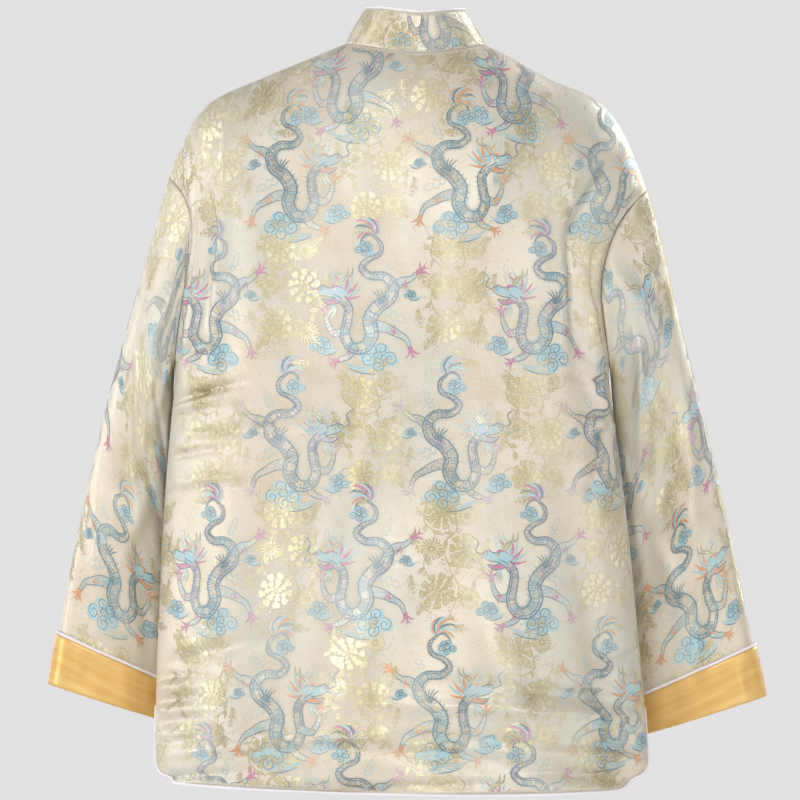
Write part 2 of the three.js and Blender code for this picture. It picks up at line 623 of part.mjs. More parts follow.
// Frog closures: a loop on one front and a knot on the other, lying on the cloth
function frontPoint(x, z) {
  let low = -40 * DEG;
  let high = 40 * DEG;
  for (let step = 0; step < 24; step += 1) {
    const middle = (low + high) / 2;
    if (torsoPoint(middle, -1, z).x < x) low = middle;
    else high = middle;
  }
  return torsoPoint(low, -1, z);
}
function frontPlace(x, z, lift) {
  const small = 2;
  const across = frontPoint(x + small, z).sub(frontPoint(x - small, z));
  const up = frontPoint(x, z + small).sub(frontPoint(x, z - small));
  const normal = across.cross(up).normalize();
  if (normal.y > 0) normal.negate();
  return { point: frontPoint(x, z).addScaledVector(normal, lift), normal };
}
function cordStops(rows) {
  const places = rows.map((row) => frontPlace(row.x, row.z, row.lift));
  return rows.map((row, i) => {
    const before = places[Math.max(i - 1, 0)].point;
    const after = places[Math.min(i + 1, rows.length - 1)].point;
    const along = after.clone().sub(before).normalize();
    const side = along.clone().cross(places[i].normal).normalize();
    const up = side.clone().cross(along).normalize();
    return { centre: places[i].point, side, up, halfWidth: row.width, halfHeight: row.height };
  });
}
function solidOf(geometry) {
  const bare = geometry.clone();
  bare.deleteAttribute('normal');
  bare.deleteAttribute('uv');
  const merged = mergeVertices(bare, 1e-4);
  return new manifold.Manifold(new manifold.Mesh({
    numProp: 3,
    vertProperties: new Float32Array(merged.getAttribute('position').array),
    triVerts: new Uint32Array(merged.getIndex().array),
  }));
}
function geometryOf(solid) {
  const mesh = solid.getMesh();
  const geometry = new THREE.BufferGeometry();
  geometry.setAttribute('position', new THREE.BufferAttribute(new Float32Array(mesh.vertProperties), 3));
  geometry.setIndex(new THREE.BufferAttribute(new Uint32Array(mesh.triVerts), 1));
  geometry.computeVertexNormals();
  return geometry;
}

const FROG_SEAT = 0.9; // clear of the curved cloth under a straight cord
const LEG_STEPS = 3;
const RING_STEPS = 10;
const centreTheta = neckPoint(Math.PI).theta;
function loopRows(middle, z) {
  const leg = FROG.cord + SEAM / 2;
  const ring = FROG.knot + FROG.cord + SEAM;
  const low = FROG_SEAT + FROG.cord;
  const high = FROG_SEAT + 2 * FROG.stem + SEAM + FROG.cord + PIPING_RADIUS;
  const open = 1.35 * Math.asin(leg / ring);
  const neck = ring * Math.cos(open) + 4;
  const rows = [];
  const size = { width: FROG.cord, height: FROG.cord };
  const add = (x, dz, lift) => rows.push({ x: middle + x, z: z + dz, lift, ...size });
  for (let i = 0; i <= LEG_STEPS; i += 1) {
    const share = i / LEG_STEPS;
    add(mix(FROG.length, neck, share), -leg, mix(low, high, smooth(share * 1.5 - 0.5)));
  }
  for (let i = 0; i <= RING_STEPS; i += 1) {
    const turn = mix(-open, open - 2 * Math.PI, i / RING_STEPS);
    add(ring * Math.cos(turn), ring * Math.sin(turn), high);
  }
  for (let i = LEG_STEPS; i >= 0; i -= 1) {
    const share = i / LEG_STEPS;
    add(mix(FROG.length, neck, share), leg, mix(low, high, smooth(share * 1.5 - 0.5)));
  }
  return rows;
}
function stemRows(middle, z) {
  const low = FROG_SEAT + FROG.stem;
  const high = low + PIPING_RADIUS;
  const wide = 2 * FROG.cord;
  return [
    { x: -FROG.length, lift: low, width: 0.8 * wide },
    { x: -FROG.length + 2, lift: low, width: wide },
    { x: -0.5 * FROG.length, lift: low, width: wide },
    { x: -0.32 * FROG.length, lift: mix(low, high, 0.6), width: 0.7 * wide },
    { x: -0.2 * FROG.length, lift: high, width: 0.5 * wide },
    { x: 0, lift: high, width: 0.5 * wide },
  ].map((row) => ({ ...row, x: middle + row.x, z, height: FROG.stem }));
}
for (let k = 0; k < FROG.count; k += 1) {
  const z = FROG.first - FROG.pitch * k;
  const middle = torsoPoint(centreTheta, -1, z).x;
  addPiece(`frog_loop_${k + 1}`, cordGeometry(cordStops(loopRows(middle, z)), 6, false), brocade);

  const stem = cordGeometry(cordStops(stemRows(middle, z)), 8, false);
  const ballLift = FROG_SEAT + 2 * FROG.stem + PIPING_RADIUS + FROG.knot - 0.8;
  const seat = frontPlace(middle, z, ballLift).point;
  const ball = new THREE.SphereGeometry(FROG.knot, 10, 7).translate(seat.x, seat.y, seat.z);
  addPiece(`frog_knot_${k + 1}`, geometryOf(solidOf(stem).add(solidOf(ball))), brocade);
}

export default jacket;
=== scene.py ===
"""Looks of a tang jacket in its worn form: brocade, satin cuffs, piping and frog closures.

Shapes are worked out in millimetres by the same sections as the CAD solids, then set in metres.
The jacket faces -Y, the wearer's left is +X, and the photograph shows it from behind, from +Y.
"""

import math
import random

import bpy
import numpy as np
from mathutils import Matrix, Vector


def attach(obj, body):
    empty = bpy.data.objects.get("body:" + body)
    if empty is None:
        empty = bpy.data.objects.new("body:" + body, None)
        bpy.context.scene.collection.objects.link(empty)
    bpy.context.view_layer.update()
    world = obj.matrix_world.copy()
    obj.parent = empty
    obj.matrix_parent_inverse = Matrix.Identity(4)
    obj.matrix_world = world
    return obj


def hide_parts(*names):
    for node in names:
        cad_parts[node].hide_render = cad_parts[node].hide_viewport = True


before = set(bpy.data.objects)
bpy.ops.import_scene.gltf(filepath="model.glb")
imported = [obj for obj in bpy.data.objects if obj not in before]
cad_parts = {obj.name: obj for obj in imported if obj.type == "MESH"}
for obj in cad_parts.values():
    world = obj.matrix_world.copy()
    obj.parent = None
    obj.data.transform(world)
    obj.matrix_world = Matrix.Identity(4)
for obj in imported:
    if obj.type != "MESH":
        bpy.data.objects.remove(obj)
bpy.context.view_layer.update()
scene = bpy.context.scene

MM = 0.001
DEG = math.pi / 180
CLOTH = 1.9  # thickness of the shown cloth
SEAM = 0.3

# Camera: the photograph's angle, straight from behind, with the photograph's frame in metres
MIDDLE_X, MIDDLE_Z = 0.005, -0.348  # what lies at the photograph's centre
CAMERA_FAR = 8.0
FRAME_WIDTH = 0.800
camera_data = bpy.data.cameras.new("camera")
camera_data.sensor_width = 36
camera_data.lens = 36 * CAMERA_FAR / FRAME_WIDTH
camera_data.clip_end = 60
camera = bpy.data.objects.new("camera", camera_data)
camera.location = (MIDDLE_X, CAMERA_FAR, MIDDLE_Z)
camera.rotation_euler = (math.pi / 2, 0, math.pi)
scene.collection.objects.link(camera)
scene.camera = camera


# Sections of the jacket, as in the CAD source
def table(names, rows):
    """Rows of numbers as one array for each column name."""
    return {name: np.array([row[i] for row in rows], float) for i, name in enumerate(names.split())}


TORSO = table("z left right back front point", [
    (-740, 249, 245, 106, 108, 1.15),
    (-650, 249, 239, 104, 112, 1.12),
    (-560, 246, 231, 100, 117, 1.05),
    (-460, 241, 221, 97, 121, 0.95),
    (-360, 233, 208, 103, 124, 0.86),
    (-260, 222, 197, 111, 121, 0.82),
    (-160, 214, 190, 112, 112, 0.80),
    (-60, 226, 226, 104, 98, 0.80),
    (20, 238, 242, 100, 90, 0.80),
])
ARMHOLE = table("run left right", [
    (0.00, 230, 204),
    (0.20, 225, 198),
    (0.45, 218, 195),
    (0.65, 213, 202),
    (0.80, 214, 213),
    (0.92, 223, 228),
    (1.00, 236, 242),
])
UNDERARM_Z = -310
SHOULDER_REACH = {"left": 236, "right": 242}
SHOULDER_Z = {"left": -125, "right": -138}
ARMHOLE_DEPTH = 38
SHOULDER_Y = -10
RIDGE = {
    "left": table("reach z", [
        (0, 21), (30, 18), (58, 9), (78, 1), (148, -28), (190, -47),
        (210, -67), (222, -90), (231, -110), (236, -125),
    ]),
    "right": table("reach z", [
        (0, 21), (45, 18), (78, 8), (96, 0), (147, -28), (191, -47),
        (211, -68), (223, -90), (233, -114), (242, -138),
    ]),
}
HEM_LINE = table("x z", [(-245, -734), (-120, -737), (40, -736), (150, -732), (250, -727)])
CORNER_RADIUS = {"left": 25, "right": 34}
VENT_TOP, VENT_OPEN, VENT_FADE = -633, 9, 34
NECK_X, NECK_HALF_WIDTH, NECK_HALF_DEPTH = -10.5, 70, 60
COLLAR_HEIGHT, LEAN_SIDE, LEAN_FRONT, COLLAR_CORNER = 40, 0.50, 0.10, 14
SETTLE = 130  # fall over which the shoulders' reach turns into the body's
SIDE_BAND, SEAM_BAND = 12, 90  # powers that narrow a form to the side, and to the seam itself
FOLD_START = 90  # fall at which folds have their full depth
UNDERARM_FADE = 40  # height below the underarm over which the armhole's form fades
PUCKER_BAND = 36  # power that ends the puckers at the side seam
PUCKER_DEPTH, RIPPLE = 1.8, 1.1  # depth of the puckers, as a factor, and of the faint waves
ROUND_BACK, ROUND_CHEST = 150, 410  # fall over which the shoulders round into the back and the chest
CHEST_ENDS = 50 * DEG  # place round the body where the chest rounds as the back does
SLEEVE = table("run outL outR outZL outZR inL inR inZL inZR outY inY depth", [
    (0.00, 236, 242, -125, -138, 230, 204, -310, -310, -10, 0, 38),
    (0.12, 253, 257, -188, -192, 231.6, 206.6, -334, -336, -11, -15, 43),
    (0.28, 273, 273, -258, -262, 233, 211, -385, -389, -16, -38, 44),
    (0.46, 297, 294, -345, -345, 234, 217, -450, -456, -24, -54, 41),
    (0.66, 319, 318, -440, -446, 229, 219, -527, -535, -34, -68, 38),
    (0.84, 338, 338, -530, -538, 226, 222, -600, -610, -42, -76, 36),
    (1.00, 356, 361, -633, -645, 231, 233, -675, -688, -46, -80, 35),
])
BOW_RUN, LEVEL_RUN = 0.22, 0.1  # runs over which the armhole's curve and its slant straighten
SLEEVE_PUCKER = 1.7  # depth of the finer sleeve folds, as a factor
CUFF_HEIGHT, CUFF_GAP, CREASE_ROOM = 50, 0.6, 0.35
PIPING_RADIUS = 1.6

# Main folds of the torso, as in the CAD source: place round the body in degrees from the centre
# back, lean in degrees per 100 mm of fall, height, half-length, half-width in degrees, depth
MAIN_FOLDS = [
    (66, -1, -235, 120, 6, -7), (-64, 2, -225, 130, 6, -8), (44, -3, -260, 150, 9, 4),
    (-45, 4, -250, 160, 9, 4), (62, 3, -520, 190, 8, -5), (-58, -6, -600, 170, 8, -6),
    (-34, -9, -700, 120, 9, 5), (6, 4, -760, 90, 12, -6), (33, 6, -720, 130, 9, 4),
    (118, 2, -260, 130, 6, -7), (-118, -2, -250, 130, 6, -7), (130, 4, -540, 190, 9, -5),
    (-127, -5, -560, 190, 9, -5), (152, 3, -690, 140, 8, 4), (-150, -4, -680, 140, 8, 4),
]
# Finer folds and puckers, only shown here: a large lean lays a fold nearly level
FINE_FOLDS = [
    (76, -6, -180, 60, 3.2, 4.2), (81, 3, -250, 70, 2.6, -4.4), (-60, 3, -200, 74, 3.0, -6.0),
    (-53, 3, -205, 84, 3.6, 3.6), (-80, -4, -255, 80, 2.6, -4.6), (58, -2, -215, 80, 3.4, 3.4),
    (76, 120, -300, 11, 6, -4.5), (64, 160, -341, 9, 7, -6.0), (68, 160, -353, 9, 8, 4.6),
    (46, 300, -378, 6, 14, -3.6), (73, 260, -402, 6, 12, -4.4), (62, 240, -428, 7, 12, 2.8),
    (-73, -28, -350, 36, 4.0, 3.8), (-66, 22, -410, 46, 4.2, -3.4), (-74, -200, -330, 8, 10, -4.4),
    (-68, -220, -372, 8, 11, 3.6), (-76, -240, -440, 7, 10, -3.6),
    (22, -8, -90, 60, 5.0, 2.8), (-26, 7, -100, 70, 5.0, 3.0), (52, 12, -110, 50, 4.0, 3.0),
    (-50, -14, -120, 60, 4.5, 3.2), (12, 3, -420, 190, 6.0, 2.8), (-14, -2, -380, 170, 7.0, -3.0),
    (28, 5, -560, 150, 6.0, -3.2), (-24, -7, -620, 90, 5.5, 3.0), (4, 0, -560, 120, 5.0, 2.2),
    (60, 123, -603, 20, 13, -4.2), (77, 250, -624, 6, 12, -5.0), (76, 240, -636, 6, 11, 3.8),
    (78, 250, -648, 6, 11, -5.6), (76, 260, -658, 5, 11, 3.8), (76, 280, -668, 5, 11, -5.2),
    (72, 260, -681, 6, 12, 3.4), (66, 300, -722, 5, 16, -4.6), (40, 200, -690, 12, 16, 3.0),
    (10, 300, -732, 6, 20, -4.6), (-46, -160, -641, 12, 15, -6.0), (-27, -240, -655, 8, 16, 3.6),
    (-30, -200, -690, 10, 15, -3.6), (-55, -220, -700, 10, 18, 5.4), (-57, -240, -722, 9, 20, -6.6),
    (-74, 180, -600, 9, 10, -4.2), (-72, -200, -668, 8, 12, 3.6), (-10, -160, -700, 10, 16, -3.0),
    (104, -6, -190, 70, 4.0, 4.6), (-104, 6, -200, 70, 4.0, 4.6), (112, 28, -350, 40, 4.5, 4.4),
    (-110, -26, -360, 44, 4.5, 4.4), (140, 4, -420, 170, 6.0, 3.2), (-141, -5, -430, 170, 6.0, 3.2),
    (165, 3, -600, 150, 5.0, 2.6), (-163, -4, -620, 150, 5.0, -2.8), (125, 8, -700, 80, 5.0, 4.2),
    (-132, -9, -700, 80, 5.0, -4.2), (160, -10, -110, 60, 5.0, 2.6), (-158, 12, -120, 60, 5.0, 2.6),
    (-116, 160, -335, 10, 9, -5.0), (114, -170, -345, 10, 9, -5.0), (103, -240, -402, 6, 11, -4.2),
    (-104, 250, -420, 6, 11, -4.0), (-106, 240, -640, 6, 11, -4.8), (105, -250, -652, 6, 11, -4.8),
    (124, -160, -640, 12, 15, -4.6), (-128, 200, -700, 10, 16, 4.4), (122, -220, -716, 9, 18, -4.6),
]
# Folds of a sleeve: place in degrees from the outer edge towards the back, run, reach along the
# run, half-width in degrees, lean in degrees a run, depth
SLEEVE_FOLDS = [
    (62, 0.30, 0.26, 20, 60, -5), (108, 0.50, 0.30, 18, -30, -5), (30, 0.66, 0.26, 18, 40, -4),
    (250, 0.36, 0.28, 20, -50, -5), (300, 0.62, 0.26, 18, 40, -4),
]
FINE_SLEEVE_FOLDS = {
    "left": [
        (84, 0.16, 0.12, 9, 90, 3.6), (120, 0.24, 0.10, 8, -120, 3.6), (70, 0.44, 0.14, 9, 160, 3.0),
        (96, 0.62, 0.12, 9, -140, 3.0), (52, 0.76, 0.12, 9, 120, 2.6), (110, 0.80, 0.10, 8, 90, -2.8),
        (132, 0.36, 0.05, 14, 260, -3.6), (128, 0.45, 0.04, 14, 240, 3.4), (124, 0.54, 0.05, 14, 250, -2.8),
        (100, 0.33, 0.04, 16, 320, 2.8), (80, 0.56, 0.05, 14, -300, -2.4), (66, 0.68, 0.04, 14, 300, 2.4),
        (150, 0.40, 0.16, 10, 60, 3.0), (210, 0.30, 0.16, 11, 80, 3.0), (270, 0.5, 0.16, 10, -100, 3.0),
        (330, 0.46, 0.2, 11, 60, 2.4), (290, 0.78, 0.12, 9, 100, 2.6), (14, 0.5, 0.22, 10, -40, 1.8),
        (236, 0.42, 0.05, 14, -260, -3.0), (240, 0.56, 0.05, 14, -250, 2.8),
    ],
    "right": [
        (70, 0.14, 0.12, 9, -90, 3.6), (104, 0.28, 0.12, 9, 110, 3.4), (80, 0.40, 0.12, 9, -150, 3.0),
        (58, 0.58, 0.14, 10, 120, 2.8), (100, 0.70, 0.12, 9, -100, 2.8), (76, 0.84, 0.10, 9, 130, -2.8),
        (134, 0.38, 0.05, 14, -260, -3.6), (128, 0.48, 0.04, 14, -240, 3.4),
        (120, 0.58, 0.05, 14, -250, -2.8), (98, 0.22, 0.04, 16, -320, 2.8),
        (86, 0.52, 0.05, 14, 300, -2.4), (64, 0.66, 0.04, 14, -300, 2.4),
        (146, 0.44, 0.16, 10, -70, 3.0), (214, 0.34, 0.16, 11, 70, 3.0), (262, 0.54, 0.16, 10, 90, 3.0),
        (322, 0.42, 0.2, 11, -60, 2.4), (296, 0.74, 0.12, 9, -90, 2.6), (20, 0.54, 0.22, 10, 50, 1.8),
        (238, 0.40, 0.05, 14, 260, -3.0), (242, 0.52, 0.05, 14, 250, 2.8),
    ],
}


# Numeric helpers
def mix(a, b, k):
    return a + (b - a) * k


def unit(v):
    return v / np.maximum(np.linalg.norm(v, axis=-1, keepdims=True), 1e-9)


def smooth(k):
    c = np.clip(k, 0, 1)
    return c * c * (3 - 2 * c)


def track(rows, key, column, at):
    """Smooth value of a column of a table at keys, through every row."""
    keys, values = rows[key], rows[column]
    at = np.clip(at, keys[0], keys[-1])
    i = np.clip(np.searchsorted(keys, at, side="right") - 1, 0, len(keys) - 2)
    before = np.maximum(np.arange(len(keys)) - 1, 0)
    after = np.minimum(np.arange(len(keys)) + 1, len(keys) - 1)
    slope = (values[after] - values[before]) / (keys[after] - keys[before])
    span = keys[i + 1] - keys[i]
    k = (at - keys[i]) / span
    k2, k3 = k * k, k * k * k
    return ((2 * k3 - 3 * k2 + 1) * values[i] + (k3 - 2 * k2 + k) * span * slope[i]
            + (3 * k2 - 2 * k3) * values[i + 1] + (k3 - k2) * span * slope[i + 1])


def by_side(x, left, right):
    """The wearer's left is where x is positive."""
    return np.where(x >= 0, left, right)


def ridge_z(theta):
    """Height of the shoulder ridge at a place round the body, 0 at the centre back."""
    sin = np.sin(theta)
    left = track(RIDGE["left"], "reach", "z", SHOULDER_REACH["left"] * np.abs(sin))
    right = track(RIDGE["right"], "reach", "z", SHOULDER_REACH["right"] * np.abs(sin))
    return by_side(sin, left, right)


def hem_z(theta):
    """Height of the hem, with its rounded lower corners."""
    sin = np.sin(theta)
    reach = by_side(sin, TORSO["left"][0], TORSO["right"][0])
    radius = by_side(sin, CORNER_RADIUS["left"], CORNER_RADIUS["right"])
    inset = np.clip(reach * (1 - np.abs(sin)), 0, radius)
    rise = radius - np.sqrt(np.maximum(radius ** 2 - (radius - inset) ** 2, 0))
    return track(HEM_LINE, "x", "z", reach * sin) + rise


def fold_depth(folds, degrees, z):
    """Sum of the folds, each a soft trough or ridge round its own leaning line."""
    depth = np.zeros(np.broadcast(degrees, z).shape)
    for at, lean, height, reach, width, size in folds:
        across = (degrees - at - lean * (height - z) / 100) / width
        along = (z - height) / reach
        depth = depth + size * np.exp(-across * across - along * along)
    return depth


def ripple(degrees, z):
    """Faint waves all over the cloth."""
    turn = degrees * DEG
    return (np.sin(5 * turn + z / 61) * np.sin(z / 37 + 2 * turn) + np.sin(9 * turn - z / 83)
            + 0.7 * np.sin(14 * turn + z / 47 + 1.3) * np.sin(z / 90))


def torso_point(theta, facing, z):
    """Points on the outside of the torso, in millimetres. facing is 1 on the back, -1 in front."""
    theta, z = np.broadcast_arrays(np.asarray(theta, float), np.asarray(z, float))
    sin, cos = np.sin(theta), np.maximum(np.cos(theta), 0)
    sign = by_side(sin, 1, -1)
    shoulder_reach = by_side(sin, SHOULDER_REACH["left"], SHOULDER_REACH["right"])
    shoulder_z = by_side(sin, SHOULDER_Z["left"], SHOULDER_Z["right"])
    fall = np.maximum(0, ridge_z(theta) - z)
    edge, rim = np.abs(sin) ** SIDE_BAND, np.abs(sin) ** SEAM_BAND
    body = by_side(sin, track(TORSO, "z", "left", z), track(TORSO, "z", "right", z))
    reach = mix(shoulder_reach, body, smooth(fall / SETTLE)) * np.abs(sin)
    run = np.clip((z - UNDERARM_Z) / (shoulder_z - UNDERARM_Z), 0, 1)
    plain_edge = mix(shoulder_reach, body, smooth((shoulder_z - z) / SETTLE))
    arm = by_side(sin, track(ARMHOLE, "run", "left", run), track(ARMHOLE, "run", "right", run))
    arm_x = plain_edge + (arm - plain_edge) * smooth((z - UNDERARM_Z) / UNDERARM_FADE + 1)
    x = sign * (reach + edge * (arm_x - plain_edge))

    roundness = ROUND_BACK if facing > 0 else mix(ROUND_CHEST, ROUND_BACK, smooth(np.abs(theta) / CHEST_ENDS))
    rounded = np.sqrt(1 - (1 - np.clip(fall / roundness, 0, 1)) ** 2)
    depth = track(TORSO, "z", "back" if facing > 0 else "front", z)
    lens = facing * depth * cos ** track(TORSO, "z", "point", z)
    seam_y = SHOULDER_Y * smooth((z - UNDERARM_Z) / (shoulder_z - UNDERARM_Z))
    loop = ARMHOLE_DEPTH * np.sqrt(np.maximum(0, 1 - (2 * run - 1) ** 2))
    swell = (z - (UNDERARM_Z + shoulder_z) / 2) / (shoulder_z - UNDERARM_Z)
    soft_loop = ARMHOLE_DEPTH * np.maximum(0, 1 - swell * swell) ** 2
    vent = VENT_OPEN * smooth((VENT_TOP - z) / VENT_FADE)
    armhole_y = mix(edge * soft_loop * smooth(2 * fall / SETTLE), loop, rim)
    y = seam_y + rounded * (lens - seam_y * cos) + facing * (armhole_y + edge * vent + SEAM / 2)

    degrees = theta / DEG if facing > 0 else np.where(sin >= 0, 180, -180) - theta / DEG
    fold = (fold_depth(MAIN_FOLDS, degrees, z) + RIPPLE * ripple(degrees, z)) * (1 - edge)
    pucker = PUCKER_DEPTH * fold_depth(FINE_FOLDS, degrees, z) * (1 - np.abs(sin) ** PUCKER_BAND)
    fold = (fold + pucker) * smooth(fall / FOLD_START)
    return np.stack([x + fold * sin, y + fold * cos * facing, z], -1)


def neck_places(angles, facing):
    """Places round the body and heights of the neck seam at angles from the centre back."""
    angles = np.asarray(angles, float)
    x = NECK_X + NECK_HALF_WIDTH * np.sin(angles)
    theta = np.arcsin(x / by_side(x, SHOULDER_REACH["left"], SHOULDER_REACH["right"]))
    depth = NECK_HALF_DEPTH * np.abs(np.cos(angles))
    high = ridge_z(theta)
    low = high - ROUND_BACK
    for _ in range(34):
        middle = (low + high) / 2
        beyond = np.abs(torso_point(theta, facing, middle)[..., 1] - SHOULDER_Y) > depth + SEAM / 2
        low, high = np.where(beyond, middle, low), np.where(beyond, high, middle)
    return theta, high


def grid_normals(grid, outward, closed=False):
    """Normals of a grid of points, turned the way the field of directions points."""
    if closed:
        du = np.roll(grid, -1, 0) - np.roll(grid, 1, 0)
    else:
        du = np.gradient(grid, axis=0)
    dv = np.gradient(grid, axis=1)
    normal = unit(np.cross(du, dv))
    flip = np.sum(normal * outward, -1, keepdims=True) < 0
    return np.where(flip, -normal, normal)


# Materials
def linear(r, g, b):
    """Colour of the photograph, 0 to 255, as Blender's linear values."""
    return tuple(((c / 255 + 0.055) / 1.055) ** 2.4 if c > 10 else c / 3294.6 for c in (r, g, b)) + (1,)


class Shader:
    """A node material with short calls for the nodes that it needs."""

    def __init__(self, name, **settings):
        self.material = bpy.data.materials.new(name)
        self.material.use_nodes = True
        self.tree = self.material.node_tree
        self.tree.nodes.clear()
        self.out = self.tree.nodes.new("ShaderNodeOutputMaterial")
        self.bsdf = self.add("ShaderNodeBsdfPrincipled")
        self.link(self.bsdf.outputs[0], self.out.inputs["Surface"])
        for socket, value in settings.items():
            self.bsdf.inputs[socket.replace("_", " ")].default_value = value

    def add(self, kind, **values):
        node = self.tree.nodes.new(kind)
        for name, value in values.items():
            if hasattr(node, name):
                setattr(node, name, value)
            else:
                node.inputs[name.replace("_", " ")].default_value = value
        return node

    def link(self, a, b):
        self.tree.links.new(a, b)

    def coordinates(self, scale, uv=True):
        place = self.add("ShaderNodeTexCoord")
        mapping = self.add("ShaderNodeMapping")
        mapping.inputs["Scale"].default_value = scale
        self.link(place.outputs["UV" if uv else "Object"], mapping.inputs["Vector"])
        return mapping.outputs["Vector"]

    def noise(self, scale, detail=3.0, roughness=0.55, stretch=(1, 1, 1), uv=True):
        node = self.add("ShaderNodeTexNoise")
        node.inputs["Scale"].default_value = scale
        node.inputs["Detail"].default_value = detail
        node.inputs["Roughness"].default_value = roughness
        self.link(self.coordinates(stretch, uv), node.inputs["Vector"])
        return node.outputs["Fac"]

    def wave(self, scale, direction, distortion=0.0, uv=True, stretch=(1, 1, 1)):
        node = self.add("ShaderNodeTexWave", wave_type="BANDS", bands_direction=direction)
        node.inputs["Scale"].default_value = scale
        node.inputs["Distortion"].default_value = distortion
        self.link(self.coordinates(stretch, uv), node.inputs["Vector"])
        return node.outputs["Fac"]

    def ramp(self, source, low, high):
        """0 below low, 1 above high."""
        node = self.add("ShaderNodeMapRange", interpolation_type="SMOOTHSTEP")
        node.inputs["From Min"].default_value = low
        node.inputs["From Max"].default_value = high
        self.link(source, node.inputs["Value"])
        return node.outputs["Result"]

    def span(self, source, low, high):
        """Runs from low to high as source runs from 0 to 1."""
        node = self.add("ShaderNodeMapRange")
        node.inputs["To Min"].default_value = low
        node.inputs["To Max"].default_value = high
        self.link(source, node.inputs["Value"])
        return node.outputs["Result"]

    def times(self, a, b):
        return self.math("MULTIPLY", a, b)

    def math(self, operation, a, b):
        node = self.add("ShaderNodeMath", operation=operation)
        for socket, value in zip(node.inputs, (a, b)):
            if isinstance(value, (int, float)):
                socket.default_value = value
            else:
                self.link(value, socket)
        return node.outputs[0]

    def blend(self, factor, a, b, how="MIX"):
        """Colour a where factor is 0 and b where it is 1; a and b are colours or sockets."""
        node = self.add("ShaderNodeMix", data_type="RGBA", blend_type=how)
        sockets = [s for s in node.inputs if s.type == "RGBA"]
        for socket, value in zip(sockets, (a, b)):
            if isinstance(value, tuple):
                socket.default_value = value
            else:
                self.link(value, socket)
        if isinstance(factor, (int, float)):
            node.inputs[0].default_value = factor
        else:
            self.link(factor, node.inputs[0])
        return [s for s in node.outputs if s.type == "RGBA"][0]

    def bump(self, height, strength, distance):
        node = self.add("ShaderNodeBump")
        node.inputs["Strength"].default_value = strength
        node.inputs["Distance"].default_value = distance
        self.link(height, node.inputs["Height"])
        self.link(node.outputs[0], self.bsdf.inputs["Normal"])

    def colour(self, socket):
        self.link(socket, self.bsdf.inputs["Base Color"])

    def rough(self, socket):
        self.link(socket, self.bsdf.inputs["Roughness"])


CREAM = linear(226, 214, 196)
CREAM_SHADE = linear(203, 190, 170)
SILVER_CREAM = linear(216, 213, 199)
GOLD_GROUND = linear(208, 191, 152)
# Painted highlight: the pale colour that threads turn to in the wide bands where they catch the light
PAINTED_THREAD_HIGHLIGHT = linear(232, 236, 232)


def light_bands(shader):
    """Wide uneven bands in which the thread catches the light."""
    return shader.ramp(shader.noise(6.5, 3.0, 0.55, stretch=(2.4, 0.7, 1)), 0.40, 0.62)


def satin_ground(name):
    """Cream satin with uneven threads, a faint gold speckle and a fine twill."""
    shader = Shader(name, Metallic=0.30, Sheen_Weight=0.15, Sheen_Roughness=0.4)
    wide = shader.ramp(shader.noise(7, 2.0, stretch=(1.0, 0.6, 1)), 0.38, 0.62)
    ground = shader.blend(wide, CREAM, SILVER_CREAM)
    cloud = shader.ramp(shader.noise(24, 4.0, 0.6), 0.44, 0.64)
    speckle = shader.ramp(shader.noise(640, 2.0, 0.7), 0.44, 0.60)
    gold = shader.times(shader.times(cloud, speckle), 0.8)
    ground = shader.blend(gold, ground, GOLD_GROUND)
    thread = shader.wave(900, "Y", 0.6)
    ground = shader.blend(shader.times(thread, 0.12), ground, CREAM_SHADE)
    shader.colour(ground)
    shader.rough(shader.span(shader.noise(60, 3.0), 0.38, 0.52))
    weave = shader.math("ADD", shader.wave(820, "DIAGONAL", 0.3), shader.times(shader.noise(300), 0.8))
    shader.bump(weave, 0.22, 0.0004)
    return shader.material


def thread_material(name, colour, deep, ground):
    """Weft threads of one colour in short stitches, with painted highlights in wide bands, ground between
    them.
    """
    shader = Shader(name, Metallic=0.2, Sheen_Weight=0.2, Sheen_Roughness=0.35)
    stitch = shader.wave(1300, "Y", 1.5)
    uneven = shader.noise(420, 3.0, 0.65)
    mixed = shader.math("ADD", shader.times(stitch, 0.4), shader.times(uneven, 0.75))
    tint = shader.blend(shader.ramp(mixed, 0.25, 0.9), deep, colour)
    # Painted highlight: the thread turns pale in wide bands where it catches the light
    tint = shader.blend(shader.times(light_bands(shader), 0.35), tint, PAINTED_THREAD_HIGHLIGHT)
    gap = shader.ramp(shader.noise(700, 2.0, 0.8, stretch=(1, 0.7, 1)), 0.40, 0.56)
    patch = shader.span(shader.ramp(shader.noise(70, 3.0, 0.6), 0.35, 0.65), 0.6 * ground, 1.4 * ground)
    shader.colour(shader.blend(shader.times(gap, patch), tint, CREAM))
    shader.rough(shader.span(uneven, 0.36, 0.50))
    shader.bump(stitch, 0.3, 0.0003)
    return shader.material


def gold_thread(name, khaki, bright, pale):
    """Gold weft that turns from khaki to pale as it catches the light in wide uneven bands."""
    shader = Shader(name, Metallic=0.35, Sheen_Weight=0.15, Sheen_Roughness=0.35)
    spot = shader.ramp(shader.noise(60, 3.0, 0.6), 0.3, 0.75)
    light = shader.math("ADD", light_bands(shader), shader.times(spot, 0.35))
    tint = shader.blend(shader.times(light, 0.75), khaki, bright)
    gap = shader.ramp(shader.noise(820, 2.0, 0.75), 0.46, 0.60)
    shader.colour(shader.blend(shader.times(gap, pale), tint, CREAM))
    shader.rough(shader.span(shader.noise(300), 0.28, 0.44))
    shader.bump(shader.wave(1300, "Y", 1.5), 0.3, 0.0003)
    return shader.material


